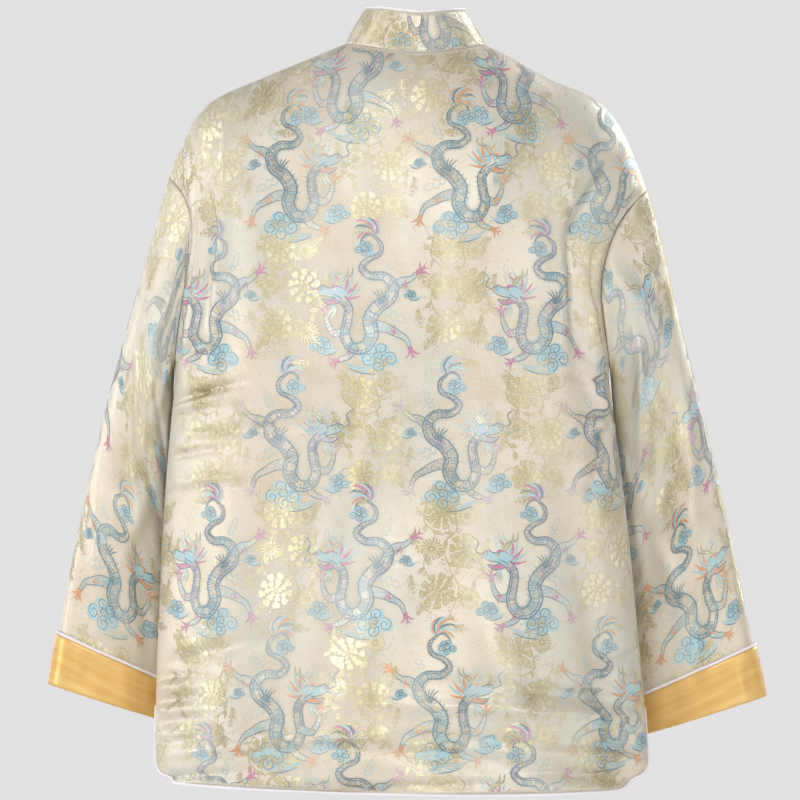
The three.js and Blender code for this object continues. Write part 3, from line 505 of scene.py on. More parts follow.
def cuff_satin():
    """Plain gold satin with soft streaks along the weft."""
    shader = Shader("gold_satin", Metallic=0.35, Sheen_Weight=0.2, Sheen_Roughness=0.35)
    streak = shader.ramp(shader.noise(30, 4.0, 0.6, stretch=(0.35, 3.0, 1)), 0.3, 0.75)
    base = shader.blend(streak, linear(226, 178, 100), linear(240, 203, 130))
    thread = shader.wave(1100, "Y", 0.4)
    base = shader.blend(shader.times(thread, 0.2), base, linear(196, 146, 74))
    shader.colour(base)
    shader.rough(shader.span(shader.noise(90), 0.32, 0.46))
    shader.bump(shader.math("ADD", thread, shader.noise(240)), 0.15, 0.0003)
    return shader.material


def piping_satin():
    """Pale bias strip with a slanting weave."""
    shader = Shader("piping_satin", Sheen_Weight=0.35, Sheen_Roughness=0.3)
    slant = shader.wave(520, "DIAGONAL", 0.5, uv=False)
    shader.colour(shader.blend(slant, linear(226, 220, 224), linear(246, 242, 246)))
    shader.rough(shader.span(shader.noise(200, uv=False), 0.36, 0.5))
    shader.bump(slant, 0.2, 0.0002)
    return shader.material


def cord_brocade():
    """Bias cord of the gold brocade, for the frog closures."""
    shader = Shader("cord_brocade", Sheen_Weight=0.3, Sheen_Roughness=0.35)
    slant = shader.wave(330, "DIAGONAL", 1.0, uv=False)
    patch = shader.ramp(shader.noise(160, 3.0, uv=False), 0.45, 0.6)
    base = shader.blend(patch, linear(214, 196, 150), linear(232, 222, 196))
    shader.colour(shader.blend(shader.times(slant, 0.3), base, linear(176, 152, 96)))
    shader.rough(shader.span(shader.noise(300, uv=False), 0.38, 0.55))
    shader.bump(slant, 0.4, 0.0004)
    return shader.material


BROCADE = satin_ground("brocade_ground")
THREADS = {
    "gold": gold_thread("gold_thread", linear(184, 167, 116), linear(240, 232, 192), 0.4),
    "pale_gold": gold_thread("pale_gold_thread", linear(202, 188, 142), linear(252, 247, 220), 0.3),
}
# Coloured threads: colour, its shade, share of ground between the stitches
THREAD_COLOURS = {
    "teal": ((150, 196, 202), (116, 164, 176), 0.8),
    "light_blue": ((164, 214, 226), (130, 190, 208), 0.5),
    "sky": ((160, 204, 220), (128, 178, 200), 0.85),
    "slate": ((156, 164, 164), (120, 132, 138), 0.9),
    "outline": ((116, 150, 164), (78, 110, 126), 0.2),
    "magenta": ((214, 128, 172), (180, 92, 142), 0.3),
    "orange": ((236, 164, 104), (206, 128, 76), 0.3),
    "lilac": ((184, 172, 196), (152, 142, 170), 0.9),
}
for name, (colour, shade, ground) in THREAD_COLOURS.items():
    THREADS[name] = thread_material(name + "_thread", linear(*colour), linear(*shade), ground)
SATIN = cuff_satin()
PIPING = piping_satin()
CORD = cord_brocade()


# Mesh helpers
def make_object(name, points, faces, materials, uvs, indices=None):
    """Object from points in millimetres; uvs are cloth coordinates in metres for each point."""
    mesh = bpy.data.meshes.new(name)
    mesh.from_pydata((np.asarray(points) * MM).tolist(), [], faces)
    for material in materials:
        mesh.materials.append(material)
    layer = mesh.uv_layers.new(name="cloth")
    loops = np.empty(len(mesh.loops), int)
    mesh.loops.foreach_get("vertex_index", loops)
    layer.data.foreach_set("uv", np.asarray(uvs, float)[loops].ravel())
    if indices is not None:
        mesh.polygons.foreach_set("material_index", np.asarray(indices, int))
    mesh.polygons.foreach_set("use_smooth", [True] * len(mesh.polygons))
    mesh.update()
    made = bpy.data.objects.new(name, mesh)
    scene.collection.objects.link(made)
    return made


def state(piece, node=None):
    """Attaches a piece to the jacket's body and hides the CAD solid that it stands for. The jacket is one
    body.
    """
    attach(piece, "root")
    if node:
        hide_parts(node)


def wall_object(name, grid, normals, uv, material, closed=False):
    """Closed cloth wall from an outer grid of points and its normals."""
    count, rows = grid.shape[:2]
    points = np.concatenate([grid.reshape(-1, 3), (grid - normals * CLOTH).reshape(-1, 3)])
    uvs = np.concatenate([uv.reshape(-1, 2)] * 2) * MM
    spans = count if closed else count - 1
    i, j = np.meshgrid(np.arange(spans), np.arange(rows - 1), indexing="ij")
    nxt = (i + 1) % count
    a, b, c, d = i * rows + j, nxt * rows + j, nxt * rows + j + 1, i * rows + j + 1
    inner = count * rows
    outer_faces = np.stack([a, b, c, d], -1).reshape(-1, 4)
    inner_faces = np.stack([a, d, c, b], -1).reshape(-1, 4) + inner
    faces = [outer_faces, inner_faces]
    k = np.arange(spans)
    kn = (k + 1) % count
    for row, turn in ((0, 1), (rows - 1, -1)):
        rim = np.stack([k * rows + row, k * rows + row + inner, kn * rows + row + inner, kn * rows + row], -1)
        faces.append(rim[:, ::turn])
    if not closed:
        m = np.arange(rows - 1)
        for column, turn in ((0, -1), (count - 1, 1)):
            base = column * rows
            rim = np.stack([base + m, base + m + inner, base + m + 1 + inner, base + m + 1], -1)
            faces.append(rim[:, ::turn])
    faces = np.concatenate(faces)
    p0, p1, p3 = points[faces[0, 0]], points[faces[0, 1]], points[faces[0, 3]]
    if np.dot(np.cross(p1 - p0, p3 - p0), normals.reshape(-1, 3)[faces[0, 0]]) < 0:
        faces = faces[:, ::-1]
    return make_object(name, points, faces.tolist(), [material], uvs)


def cord_object(name, centres, sides, ups, half_widths, half_heights, material, around=12, closed=False):
    """Round or oval cord along a path, closed by a flat end where it is open."""
    turn = np.arange(around) * 2 * math.pi / around
    ring = (np.cos(turn)[None, :, None] * sides[:, None, :] * half_widths[:, None, None]
            + np.sin(turn)[None, :, None] * ups[:, None, :] * half_heights[:, None, None])
    points = (centres[:, None, :] + ring).reshape(-1, 3)
    count = len(centres)
    spans = count if closed else count - 1
    faces = []
    for i in range(spans):
        for k in range(around):
            a, b = i * around + k, i * around + (k + 1) % around
            c, d = ((i + 1) % count) * around + (k + 1) % around, ((i + 1) % count) * around + k
            faces.append((a, b, c, d))
    if not closed:
        faces.append(tuple(range(around))[::-1])
        faces.append(tuple((count - 1) * around + k for k in range(around)))
    along = np.cumsum(np.r_[0, np.linalg.norm(np.diff(centres, axis=0), axis=1)])
    uvs = np.stack([np.tile(turn * 1.6, count), np.repeat(along, around)], -1) * MM
    made = make_object(name, points, faces, [material], uvs)
    if signed_volume(points, faces) < 0:
        made.data.flip_normals()
    return made


def signed_volume(points, faces):
    total = 0.0
    for face in faces:
        a = points[face[0]]
        for b, c in zip(face[1:-1], face[2:]):
            total += np.dot(a, np.cross(points[b], points[c]))
    return total


# Torso panels
NECK_COLUMNS = 30  # of a half panel, from its middle edge to the shoulder seam
SIDE_COLUMNS = 36  # of a half panel, from the neck to the side
LOW_ROWS, HIGH_ROWS = 96, 54
FRONT_HALF_GAP = 2 * PIPING_RADIUS + 1.4
FRONT_EDGE = FRONT_HALF_GAP / NECK_HALF_WIDTH


def half_columns(sign, facing):
    """Places round the body and top heights of a half panel's columns, from its middle edge out."""
    turns = np.linspace(0, 90 * DEG, NECK_COLUMNS + 1)
    if facing < 0:
        turns = math.pi - np.maximum(turns, FRONT_EDGE)
    theta, top = neck_places(sign * turns, facing)
    sides = mix(theta[-1], sign * math.pi / 2, np.arange(1, SIDE_COLUMNS + 1) / SIDE_COLUMNS)
    theta, top = np.r_[theta, sides], np.r_[top, ridge_z(sides)]
    return list(zip(theta.tolist(), top.tolist()))


def distinct(columns):
    """The columns with those left out that repeat the one before."""
    kept = columns[:1]
    for column in columns[1:]:
        if abs(column[0] - kept[-1][0]) > 1e-7:
            kept.append(column)
    return kept


def panel_grid(columns, facing):
    """Grid of a panel's outside, a column for each place and rows from the hem to the top."""
    thetas = np.array([c[0] for c in columns])[:, None]
    tops = np.array([c[1] for c in columns])[:, None]
    hem = hem_z(thetas)
    low = mix(hem, UNDERARM_Z, np.arange(LOW_ROWS)[None, :] / LOW_ROWS)
    share = (1 - np.cos(np.pi * np.arange(HIGH_ROWS + 1)[None, :] / HIGH_ROWS)) / 2
    high = mix(UNDERARM_Z, tops, share)
    heights = np.concatenate([low, high], 1)
    return torso_point(np.repeat(thetas, heights.shape[1], 1), facing, heights)


def arc(points, axis):
    """Length along an axis of a grid, starting at 0."""
    steps = np.linalg.norm(np.diff(points, axis=axis), axis=-1)
    zero = np.zeros_like(np.take(steps, [0], axis=axis))
    return np.cumsum(np.concatenate([zero, steps], axis), axis)


def panel_uv(grid, middle):
    """Cloth coordinates: across from the middle column, up from the hem, in millimetres."""
    across = arc(grid, 0)
    across = across - across[middle:middle + 1]
    up = arc(grid, 1)[middle:middle + 1]
    heights = grid[middle, :, 2]
    drop = np.interp(grid[..., 2], heights, up[0])
    return np.stack([across, drop], -1)


NEAR_SIDE = 1.5  # an edge further round than this, in radians, is a side seam
NECK_TURN = -0.0445  # place round the body of the middle of the neck
PANELS = {}
for name, facing, columns in (
    ("back_panel", 1, half_columns(-1, 1)[::-1][:-1] + half_columns(1, 1)),
    ("front_left", -1, half_columns(1, -1)),
    ("front_right", -1, half_columns(-1, -1)),
):
    columns = distinct(columns)
    grid = panel_grid(columns, facing)
    outward = grid * (0.4, 1, 0) + np.stack(
        [np.zeros(grid.shape[:2])] * 2 + [np.maximum(0, grid[..., 2] + 150)], -1)
    normals = grid_normals(grid, outward)
    for side in (0, -1):
        if abs(columns[side][0]) > NEAR_SIDE:
            along = np.gradient(grid[side], axis=0)
            turned = np.cross(np.array([0.0, 1, 0]), along)
            turned /= np.linalg.norm(turned, axis=-1, keepdims=True)
            turned *= np.sign(turned[:, :1]) * np.sign(columns[side][0])
            low_part = np.arange(grid.shape[1]) <= LOW_ROWS
            normals[side] = np.where(low_part[:, None], turned, normals[side])
    middle = int(np.argmin([abs(c[0] - NECK_TURN) for c in columns])) if facing > 0 else 0
    uv = panel_uv(grid, middle)
    piece = wall_object("cloth_" + name, grid, normals, uv, BROCADE)
    PANELS[name] = {"facing": facing, "columns": columns, "grid": grid, "normals": normals, "uv": uv,
                    "piece": piece}
    state(piece, name)


# Sleeves and cuffs
SLEEVE_SIDES, SLEEVE_ROWS, CUFF_ROWS = 96, 120, 16


def sleeve_point(side, run, angle):
    """Points on the outside of a sleeve. run goes from the armhole to the sleeve's end."""
    run, angle = np.broadcast_arrays(np.asarray(run, float), np.asarray(angle, float))
    letter, sign = ("L", 1) if side == "left" else ("R", -1)

    def value(column):
        return track(SLEEVE, "run", column, run)

    share = (1 + np.cos(angle)) / 2
    z = mix(value("inZ" + letter), value("outZ" + letter), share)
    straight = mix(value("in" + letter), value("out" + letter), share)
    chord = mix(SLEEVE["in" + letter][0], SLEEVE["out" + letter][0], share)
    bow = (track(ARMHOLE, "run", side, share) - chord) * (1 - smooth(run / BOW_RUN))
    start = SHOULDER_Y * smooth(share)
    middle = mix(start, mix(value("inY"), value("outY"), share), smooth(run / LEVEL_RUN))
    turn = np.mod(angle / DEG, 360)
    depth = value("depth")
    for at, fold_run, reach, width, lean, size in SLEEVE_FOLDS + FINE_SLEEVE_FOLDS[side]:
        across = turn - at - lean * (run - fold_run)
        across = (np.mod(across + 180, 360) - 180) / width
        along = (run - fold_run) / reach
        fade = smooth(run / 0.05)
        size = size if width > 16 else SLEEVE_PUCKER * size * fade
        depth = depth + size * np.exp(-across * across - along * along)
    waves = np.sin(3 * angle + 31 * run) * np.sin(17 * run + 1.2) + 0.6 * np.sin(7 * angle - 23 * run)
    depth = depth + 0.8 * waves * smooth(run / 0.08)
    return np.stack([sign * (straight + bow + SEAM), middle + depth * np.sin(angle),
                     z - 2 * SEAM * share * share], -1)


def sleeve_surface(side, run, angle, out=0.0):
    """Points and normals of a sleeve at a distance out from its surface."""
    small = 1e-3
    point = sleeve_point(side, run, angle)
    along = sleeve_point(side, np.minimum(run + small, 1), angle) - sleeve_point(
        side, np.maximum(run - small, 0), angle)
    around = sleeve_point(side, run, angle + small) - sleeve_point(side, run, angle - small)
    normal = unit(np.cross(along, around))
    middle = (sleeve_point(side, run, np.zeros_like(angle)) + sleeve_point(
        side, run, np.full_like(angle, math.pi))) / 2
    flip = np.sum(normal * (point - middle), -1, keepdims=True) < 0
    normal = np.where(flip, -normal, normal)
    return point + normal * np.asarray(out)[..., None], normal


def cuff_crease(side, run, angle, top):
    """Soft creases of the cuff, across its height, deeper towards its lower edge."""
    lean = 0.5 if side == "left" else -0.4
    down = (run - top) / (1 - top)
    wave = np.sin(9 * angle + 2.2 * lean * down + 0.4) + 0.7 * np.sin(15 * angle - lean * down + 1.1)
    return 0.55 * wave * np.sin(math.pi * np.clip(down, 0.0, 1.0)) ** 0.7


SLEEVES = {}
for side in ("left", "right"):
    outer = sleeve_point(side, 1.0, 0.0)
    length = float(np.linalg.norm(outer - sleeve_point(side, 0.84, 0.0))) / 0.16
    cuff_top = 1 - CUFF_HEIGHT / length
    angles = 2 * np.pi * np.arange(SLEEVE_SIDES) / SLEEVE_SIDES
    run, angle = np.broadcast_arrays(np.linspace(0, 1, SLEEVE_ROWS + 1)[None, :], angles[:, None])
    grid, normals = sleeve_surface(side, run, angle)
    around = arc(np.concatenate([grid, grid[:1]]), 0)
    around = around[:-1] - around[SLEEVE_SIDES // 4]
    lengthwise = arc(grid, 1).mean(0, keepdims=True) * np.ones((SLEEVE_SIDES, 1))
    uv = np.stack([around, -lengthwise], -1)
    piece = wall_object("cloth_sleeve_" + side, grid, normals, uv, BROCADE, closed=True)
    state(piece, "sleeve_" + side)

    run, angle = np.broadcast_arrays(np.linspace(cuff_top, 1, CUFF_ROWS + 1)[None, :], angles[:, None])
    out = CUFF_GAP + CLOTH + CREASE_ROOM + cuff_crease(side, run, angle, cuff_top)
    cuff_grid, cuff_normals = sleeve_surface(side, run, angle, out)
    cuff_uv = np.stack([arc(np.concatenate([cuff_grid, cuff_grid[:1]]), 0)[:-1], -arc(cuff_grid, 1)], -1)
    cuff = wall_object("cloth_cuff_" + side, cuff_grid, cuff_normals, cuff_uv, SATIN, closed=True)
    state(cuff, "cuff_" + side)
    SLEEVES[side] = {"cuff_top": cuff_top, "piece": piece, "grid": grid, "normals": normals,
                     "cuff": cuff, "cuff_grid": cuff_grid, "cuff_normals": cuff_normals}


# Collar
def seam_points(angles):
    """Points of the neck seam, straight between the CAD's steps of ten degrees."""
    turn, sign = np.abs(angles), np.where(np.asarray(angles) < 0, -1, 1)
    step = 10 * DEG
    low = np.floor(turn / step + 1e-9) * step
    high = np.minimum(low + step, math.pi - FRONT_EDGE)
    share = np.where(high > low, (turn - low) / np.maximum(high - low, 1e-9), 0)
    ends = []
    for end in (low, high):
        back, front = neck_places(sign * end, 1), neck_places(sign * end, -1)
        on_back = end <= math.pi / 2 + 1e-9
        ends.append(np.where(on_back[:, None], torso_point(back[0], 1, back[1]),
                             torso_point(front[0], -1, front[1])))
    return mix(ends[0], ends[1], share[:, None])


COLLAR_END = 0.25  # angle by each front end in which the columns grow finer
collar_front = math.pi - FRONT_EDGE
collar_half = list(np.linspace(0, collar_front - COLLAR_END, 56)[1:]) + list(
    collar_front - COLLAR_END * (1 - np.linspace(0, 1, 15)[1:]) ** 1.6)
collar_angles = [-a for a in collar_half[::-1]] + [0.0] + collar_half
COLLAR_ROWS = 12
collar_lines = []
for angle, base in zip(collar_angles, seam_points(np.array(collar_angles))):
    s, c = math.sin(angle), math.cos(angle)
    lean = math.hypot(LEAN_SIDE * s, LEAN_FRONT * c)
    rise = math.sqrt(1 - lean * lean)
    inset = min(max((collar_front - abs(angle)) * NECK_HALF_WIDTH, 0), COLLAR_CORNER)
    cut = COLLAR_CORNER - math.sqrt(COLLAR_CORNER ** 2 - (COLLAR_CORNER - inset) ** 2)
    up = (COLLAR_HEIGHT - cut) * np.linspace(0, 1, COLLAR_ROWS + 1)
    belly = 0.7 * np.sin(math.pi * up / COLLAR_HEIGHT) * (1 + 0.4 * math.sin(5 * angle))
    line = np.stack([base[0] - LEAN_SIDE * s * up + belly * s, base[1] - LEAN_FRONT * c * up + belly * c,
                     base[2] + rise * up + SEAM], -1)
    collar_lines.append(line)
collar_grid = np.stack(collar_lines)
collar_out = (collar_grid - np.array([NECK_X, SHOULDER_Y, 0])) * (1, 1, 0)
collar_normals = grid_normals(collar_grid, collar_out)
collar_uv = np.stack([arc(collar_grid, 0)[:, :1] * np.ones((1, COLLAR_ROWS + 1)), arc(collar_grid, 1)], -1)
collar_uv[..., 0] -= collar_uv[len(collar_angles) // 2, 0, 0]
collar = wall_object("cloth_collar", collar_grid, collar_normals, collar_uv, BROCADE)
state(collar, "collar")


# Piping
PIPING_SEAM = 0.15  # between an edge and its piping


def piping(name, node, edge, normals, outward, closed=False):
    """Piping on an edge, lying as the CAD's: seated on the cloth's middle, just off its edge."""
    if closed:
        along = np.roll(edge, -1, 0) - np.roll(edge, 1, 0)
    else:
        along = np.gradient(edge, axis=0)
    out = unit(np.cross(unit(along), normals))
    out = np.where(np.sum(out * outward, -1, keepdims=True) < 0, -out, out)
    up = unit(np.cross(unit(along), out))
    up = np.where(np.sum(up * normals, -1, keepdims=True) < 0, -up, up)
    centres = edge + normals * (PIPING_RADIUS - CLOTH) + out * (PIPING_RADIUS + PIPING_SEAM)
    size = np.full(len(edge), PIPING_RADIUS)
    made = cord_object(name, centres, out, up, size, size, PIPING, around=8, closed=closed)
    state(made, node)


piping("trim_collar", "piping_collar", collar_grid[:, -1], collar_normals[:, -1],
       collar_grid[:, -1] - collar_grid[:, 0])
for side in ("left", "right"):
    grid, normals = SLEEVES[side]["cuff_grid"], SLEEVES[side]["cuff_normals"]
    piping("trim_cuff_" + side, "piping_cuff_" + side, grid[:, 0], normals[:, 0],
           grid[:, 0] - grid[:, 1], closed=True)


def panel_edge(panel, from_front):
    """Edge of a panel from its front edge, or its first vent, round the hem to the next vent."""
    grid, normals = panel["grid"], panel["normals"]
    clear = VENT_TOP - VENT_FADE * 0.55
    edge, ups, outs = [], [], []

    def take(i, j, i2, j2):
        edge.append(grid[i, j])
        ups.append(normals[i, j])
        outs.append(grid[i, j] - grid[i2, j2])

    def vent(i):
        return [j for j in range(1, LOW_ROWS) if grid[i, j, 2] < clear]

    last = len(grid) - 1
    if from_front:
        for j in range(grid.shape[1] - 1, 0, -1):
            take(0, j, 1, j)
    else:
        for j in vent(0)[::-1]:
            take(0, j, 1, j)
    for i in range(last + 1):
        take(i, 0, i, 1)
    for j in vent(last):
        take(last, j, last - 1, j)
    return np.array(edge), np.array(ups), np.array(outs)


PIPING_STEP = 2.2  # least distance between two rings of piping
for name, panel in PANELS.items():
    edge, ups, outs = panel_edge(panel, name != "back_panel")
    keep = [0]
    for i in range(1, len(edge)):
        if np.linalg.norm(edge[i] - edge[keep[-1]]) > PIPING_STEP:
            keep.append(i)
    short = name.replace("_panel", "")
    piping("trim_" + short, "piping_" + short, edge[keep], ups[keep], outs[keep])


# Frog closures
FROG_COUNT, FROG_FIRST, FROG_PITCH, FROG_LENGTH = 7, -82, 80, 46
FROG_CORD, FROG_STEM, FROG_KNOT, FROG_SEAT = 2.2, 1.2, 5.6, 0.9
BALL_SINK = 0.8  # how deep the ball knot sits in its stem


def front_point(x, z):
    """Points of the front at x, found by halving."""
    low, high = np.full(np.shape(x), -40 * DEG), np.full(np.shape(x), 40 * DEG)
    for _ in range(26):
        middle = (low + high) / 2
        less = torso_point(middle, -1, z)[..., 0] < x
        low, high = np.where(less, middle, low), np.where(less, high, middle)
    return torso_point(low, -1, z)


def front_place(x, z, lift):
    """Points at a lift off the front, and the normals there."""
    x, z, lift = (np.asarray(v, float) for v in (x, z, lift))
    across = front_point(x + 2, z) - front_point(x - 2, z)
    up = front_point(x, z + 2) - front_point(x, z - 2)
    normal = unit(np.cross(across, up))
    normal = np.where(normal[..., 1:2] > 0, -normal, normal)
    return front_point(x, z) + normal * lift[..., None], normal


def frog_cord(name, node, xs, zs, lifts, widths, heights, around):
    """Cord of a frog closure that follows the front."""
    centres, normals = front_place(xs, zs, lifts)
    along = unit(np.gradient(centres, axis=0))
    sides = unit(np.cross(along, normals))
    ups = unit(np.cross(sides, along))
    made = cord_object(name, centres, sides, ups, np.asarray(widths, float), np.asarray(heights, float),
                       CORD, around=around)
    state(made, node)


def knot_ball(name, node, seat, normal):
    """Ball knot: a sphere with the turns of its cord as slanting grooves."""
    rows, cols = 16, 28
    v, u = np.meshgrid(np.linspace(0, math.pi, rows + 1), np.arange(cols) * 2 * math.pi / cols, indexing="ij")
    weave = np.abs(np.sin(3 * u + 2.2 * v)) ** 0.5 * np.abs(np.sin(3 * u - 2.2 * v + 1.0)) ** 0.5
    radius = FROG_KNOT * (0.93 + 0.075 * weave * np.sin(v))
    side = unit(np.cross(normal, np.array([0, 0, 1.0])))
    up = np.cross(side, normal)
    points = (np.sin(v) * np.cos(u) * radius)[..., None] * side + (np.sin(v) * np.sin(u) * radius)[
        ..., None] * up + (np.cos(v) * radius)[..., None] * normal + seat
    flat = [points[0, 0]] + list(points[1:-1].reshape(-1, 3)) + [points[-1, 0]]
    faces = []
    for k in range(cols):
        n = (k + 1) % cols
        faces.append((0, 1 + k, 1 + n))
        for r in range(rows - 2):
            a = 1 + r * cols
            faces.append((a + k, a + cols + k, a + cols + n, a + n))
        a = 1 + (rows - 2) * cols
        faces.append((a + k, len(flat) - 1, a + n))
    uvs = np.zeros((len(flat), 2))
    uvs[:, 0] = [p[0] * MM for p in flat]
    uvs[:, 1] = [p[2] * MM for p in flat]
    made = make_object(name, flat, faces, [CORD], uvs)
    if signed_volume(np.array(flat), faces) < 0:
        made.data.flip_normals()
    state(made, node)


centre_theta = float(neck_places(math.pi, -1)[0])
for k in range(FROG_COUNT):
    number = str(k + 1)
    z = FROG_FIRST - FROG_PITCH * k
    middle = float(torso_point(centre_theta, -1, z)[0])
    leg = FROG_CORD + SEAM / 2
    ring = FROG_KNOT + FROG_CORD + SEAM
    low = FROG_SEAT + FROG_CORD
    high = FROG_SEAT + 2 * FROG_STEM + SEAM + FROG_CORD + PIPING_RADIUS
    opening = 1.35 * math.asin(leg / ring)
    share = np.linspace(0, 1, 13)
    leg_x = mix(FROG_LENGTH, ring * math.cos(opening) + 4, share)
    leg_lift = mix(low, high, smooth(share * 1.5 - 0.5))
    turn = np.linspace(-opening, opening - 2 * math.pi, 33)
    xs = np.r_[leg_x, ring * np.cos(turn), leg_x[::-1]]
    zs = np.r_[np.full(13, -leg), ring * np.sin(turn), np.full(13, leg)]
    lifts = np.r_[leg_lift, np.full(33, high), leg_lift[::-1]]
    size = np.full(len(xs), FROG_CORD)
    frog_cord("loop_" + number, "frog_loop_" + number, middle + xs, z + zs, lifts, size, size, 10)

    s_low = FROG_SEAT + FROG_STEM
    stem = table("x lift width", [
        (-FROG_LENGTH, s_low, 0.8), (-FROG_LENGTH + 2, s_low, 1), (-0.5 * FROG_LENGTH, s_low, 1),
        (-0.32 * FROG_LENGTH, s_low + 0.6 * PIPING_RADIUS, 0.7),
        (-0.2 * FROG_LENGTH, s_low + PIPING_RADIUS, 0.5), (0, s_low + PIPING_RADIUS, 0.5)])
    xs = np.linspace(-FROG_LENGTH, 0, 24)
    widths = 2 * FROG_CORD * np.interp(xs, stem["x"], stem["width"])
    lifts = np.interp(xs, stem["x"], stem["lift"])
    frog_cord("stem_" + number, "frog_knot_" + number, middle + xs, np.full(len(xs), float(z)), lifts,
              widths, np.full(len(xs), FROG_STEM), 12)
    ball_lift = FROG_SEAT + 2 * FROG_STEM + PIPING_RADIUS + FROG_KNOT - BALL_SINK
    seat, normal = front_place([middle], [z], [ball_lift])
    knot_ball("ball_" + number, "frog_knot_" + number, seat[0], normal[0])


# Brocade figures: each is drawn once on a flat sheet, in millimetres, and laid on the cloth by its
# own lengths across and along
STACK, STACK_COUNT = 0.006, 11  # so that strokes of one kind don't lie in one plane


def polar(x, y, reach, turn):
    """The point at a reach and a turn from x, y."""
    return (x + reach * math.cos(turn), y + reach * math.sin(turn))


def along_and_side(line):
    """Directions along a flat line and to its left."""
    along = unit(np.gradient(line, axis=0))
    return along, np.stack([-along[:, 1], along[:, 0]], 1)


def spread(values, count):
    """A short list of values drawn out evenly to a count."""
    return np.interp(np.linspace(0, 1, count), np.linspace(0, 1, len(values)), values)


def scale_bow(centre, along, side, radius):
    """Small arc of one scale, open towards the tail."""
    return [centre + radius * (math.cos(t) * side + math.sin(t) * along) for t in (0.1, 1.1, 2.04, 3.04)]


class Drawing:
    """Flat strokes and petals with a lift off the cloth and the part that a thread colour plays."""

    def __init__(self):
        self.points, self.faces, self.roles = [], [], []

    def add(self, points, faces, role, lift):
        """Adds faces of 3 or 4 corners, the fourth of a triangle being -1."""
        start = len(self.points)
        lift += STACK * (len(self.roles) % STACK_COUNT)
        self.points += [(float(x), float(y), lift) for x, y in points]
        self.faces += [[start + i for i in face] + [-1] * (4 - len(face)) for face in faces]
        self.roles += [role] * len(faces)

    def enlarge(self, start, x, y, factor):
        """Makes what was drawn since start larger, about a point."""
        self.points[start:] = [(x + (px - x) * factor, y + (py - y) * factor, lift)
                               for px, py, lift in self.points[start:]]

    def ribbon(self, points, widths, role, lift=0.34, steps=5):
        """Smooth stroke through points, with half-widths from a list or one number at its middle."""
        line = curve(points, steps)
        if isinstance(widths, (int, float)):
            share = np.linspace(0, 1, len(line))
            half = widths * np.sin(np.pi * (0.06 + 0.90 * share)) ** 0.6
        else:
            half = spread(widths, len(line))
        side = along_and_side(line)[1] * half[:, None]
        both = np.concatenate([line + side, line - side])
        n = len(line)
        self.add(both, [(i, i + n, i + n + 1, i + 1) for i in range(n - 1)], role, lift)

    def blob(self, x, y, rx, ry, turn, role, lift=0.22, lobes=0, depth=0.0, around=14):
        """Filled oval, with lobes where they are asked for."""
        a = np.arange(around) * 2 * math.pi / around
        r = 1 + depth * np.cos(lobes * a)
        px, py = rx * r * np.cos(a), ry * r * np.sin(a)
        c, s = math.cos(turn), math.sin(turn)
        rim = np.stack([x + px * c - py * s, y + px * s + py * c], 1)
        points = np.concatenate([[[x, y]], rim])
        self.add(points, [(0, 1 + k, 1 + (k + 1) % around) for k in range(around)], role, lift)

    def spiral(self, x, y, radius, turns, start, role, half=0.5, lift=0.34, sign=1):
        """Curl that winds into its middle."""
        n = max(8, int(11 * turns))
        t = np.linspace(0, 1, n)
        a = start + sign * t * turns * 2 * math.pi
        r = radius * (1 - 0.85 * t)
        self.ribbon(np.stack([x + r * np.cos(a), y + r * np.sin(a)], 1), half, role, lift, steps=1)

    def comb(self, points, length, role, count=9, half=0.55, lift=0.3, lean=0.9):
        """Leaf of short strokes on both sides of a curved rib."""
        line = curve(points, 6)
        self.ribbon(points, 0.45, role, lift, 4)
        at = np.linspace(1, len(line) - 2, count).astype(int)
        for n, i in enumerate(at):
            along = unit(line[i + 1] - line[i - 1])
            side = np.array([-along[1], along[0]])
            size = length * math.sin(math.pi * (n + 1.2) / (count + 1.4))
            for sign in (1, -1):
                tip = line[i] + size * (sign * side + lean * along)
                self.ribbon([line[i], tip], [half * 0.5, half, half * 0.3], role, lift, 2)


def curve(points, steps):
    """Points of a smooth line through the given ones."""
    p = np.asarray(points, float)
    if steps <= 1 or len(p) < 3:
        return p if steps <= 1 else np.stack([mix(p[0], p[-1], t) for t in np.linspace(0, 1, steps + 1)])
    ends = np.concatenate([[2 * p[0] - p[1]], p, [2 * p[-1] - p[-2]]])
    line = []
    for i in range(1, len(ends) - 2):
        a, b, c, d = ends[i - 1:i + 3]
        for t in np.arange(steps) / steps:
            line.append(0.5 * (2 * b + (c - a) * t + (2 * a - 5 * b + 4 * c - d) * t * t
                               + (3 * b - 3 * c + d - a) * t ** 3))
    line.append(p[-1])
    return np.array(line)


CLOUD_LOBES = ((0, 0, 0.62), (-0.62, -0.14, 0.46), (0.6, -0.1, 0.48), (-0.2, 0.44, 0.42),
               (0.34, 0.38, 0.40), (0.1, -0.5, 0.44))
CLOUD_CURLS = ((-0.62, -0.1, 0.44, 0.4), (0.6, -0.06, 0.46, 2.6), (-0.16, 0.46, 0.4, 4.4),
               (0.36, 0.38, 0.38, 5.2), (0.06, -0.46, 0.42, 1.2), (0.0, 0.05, 0.4, 3.4))


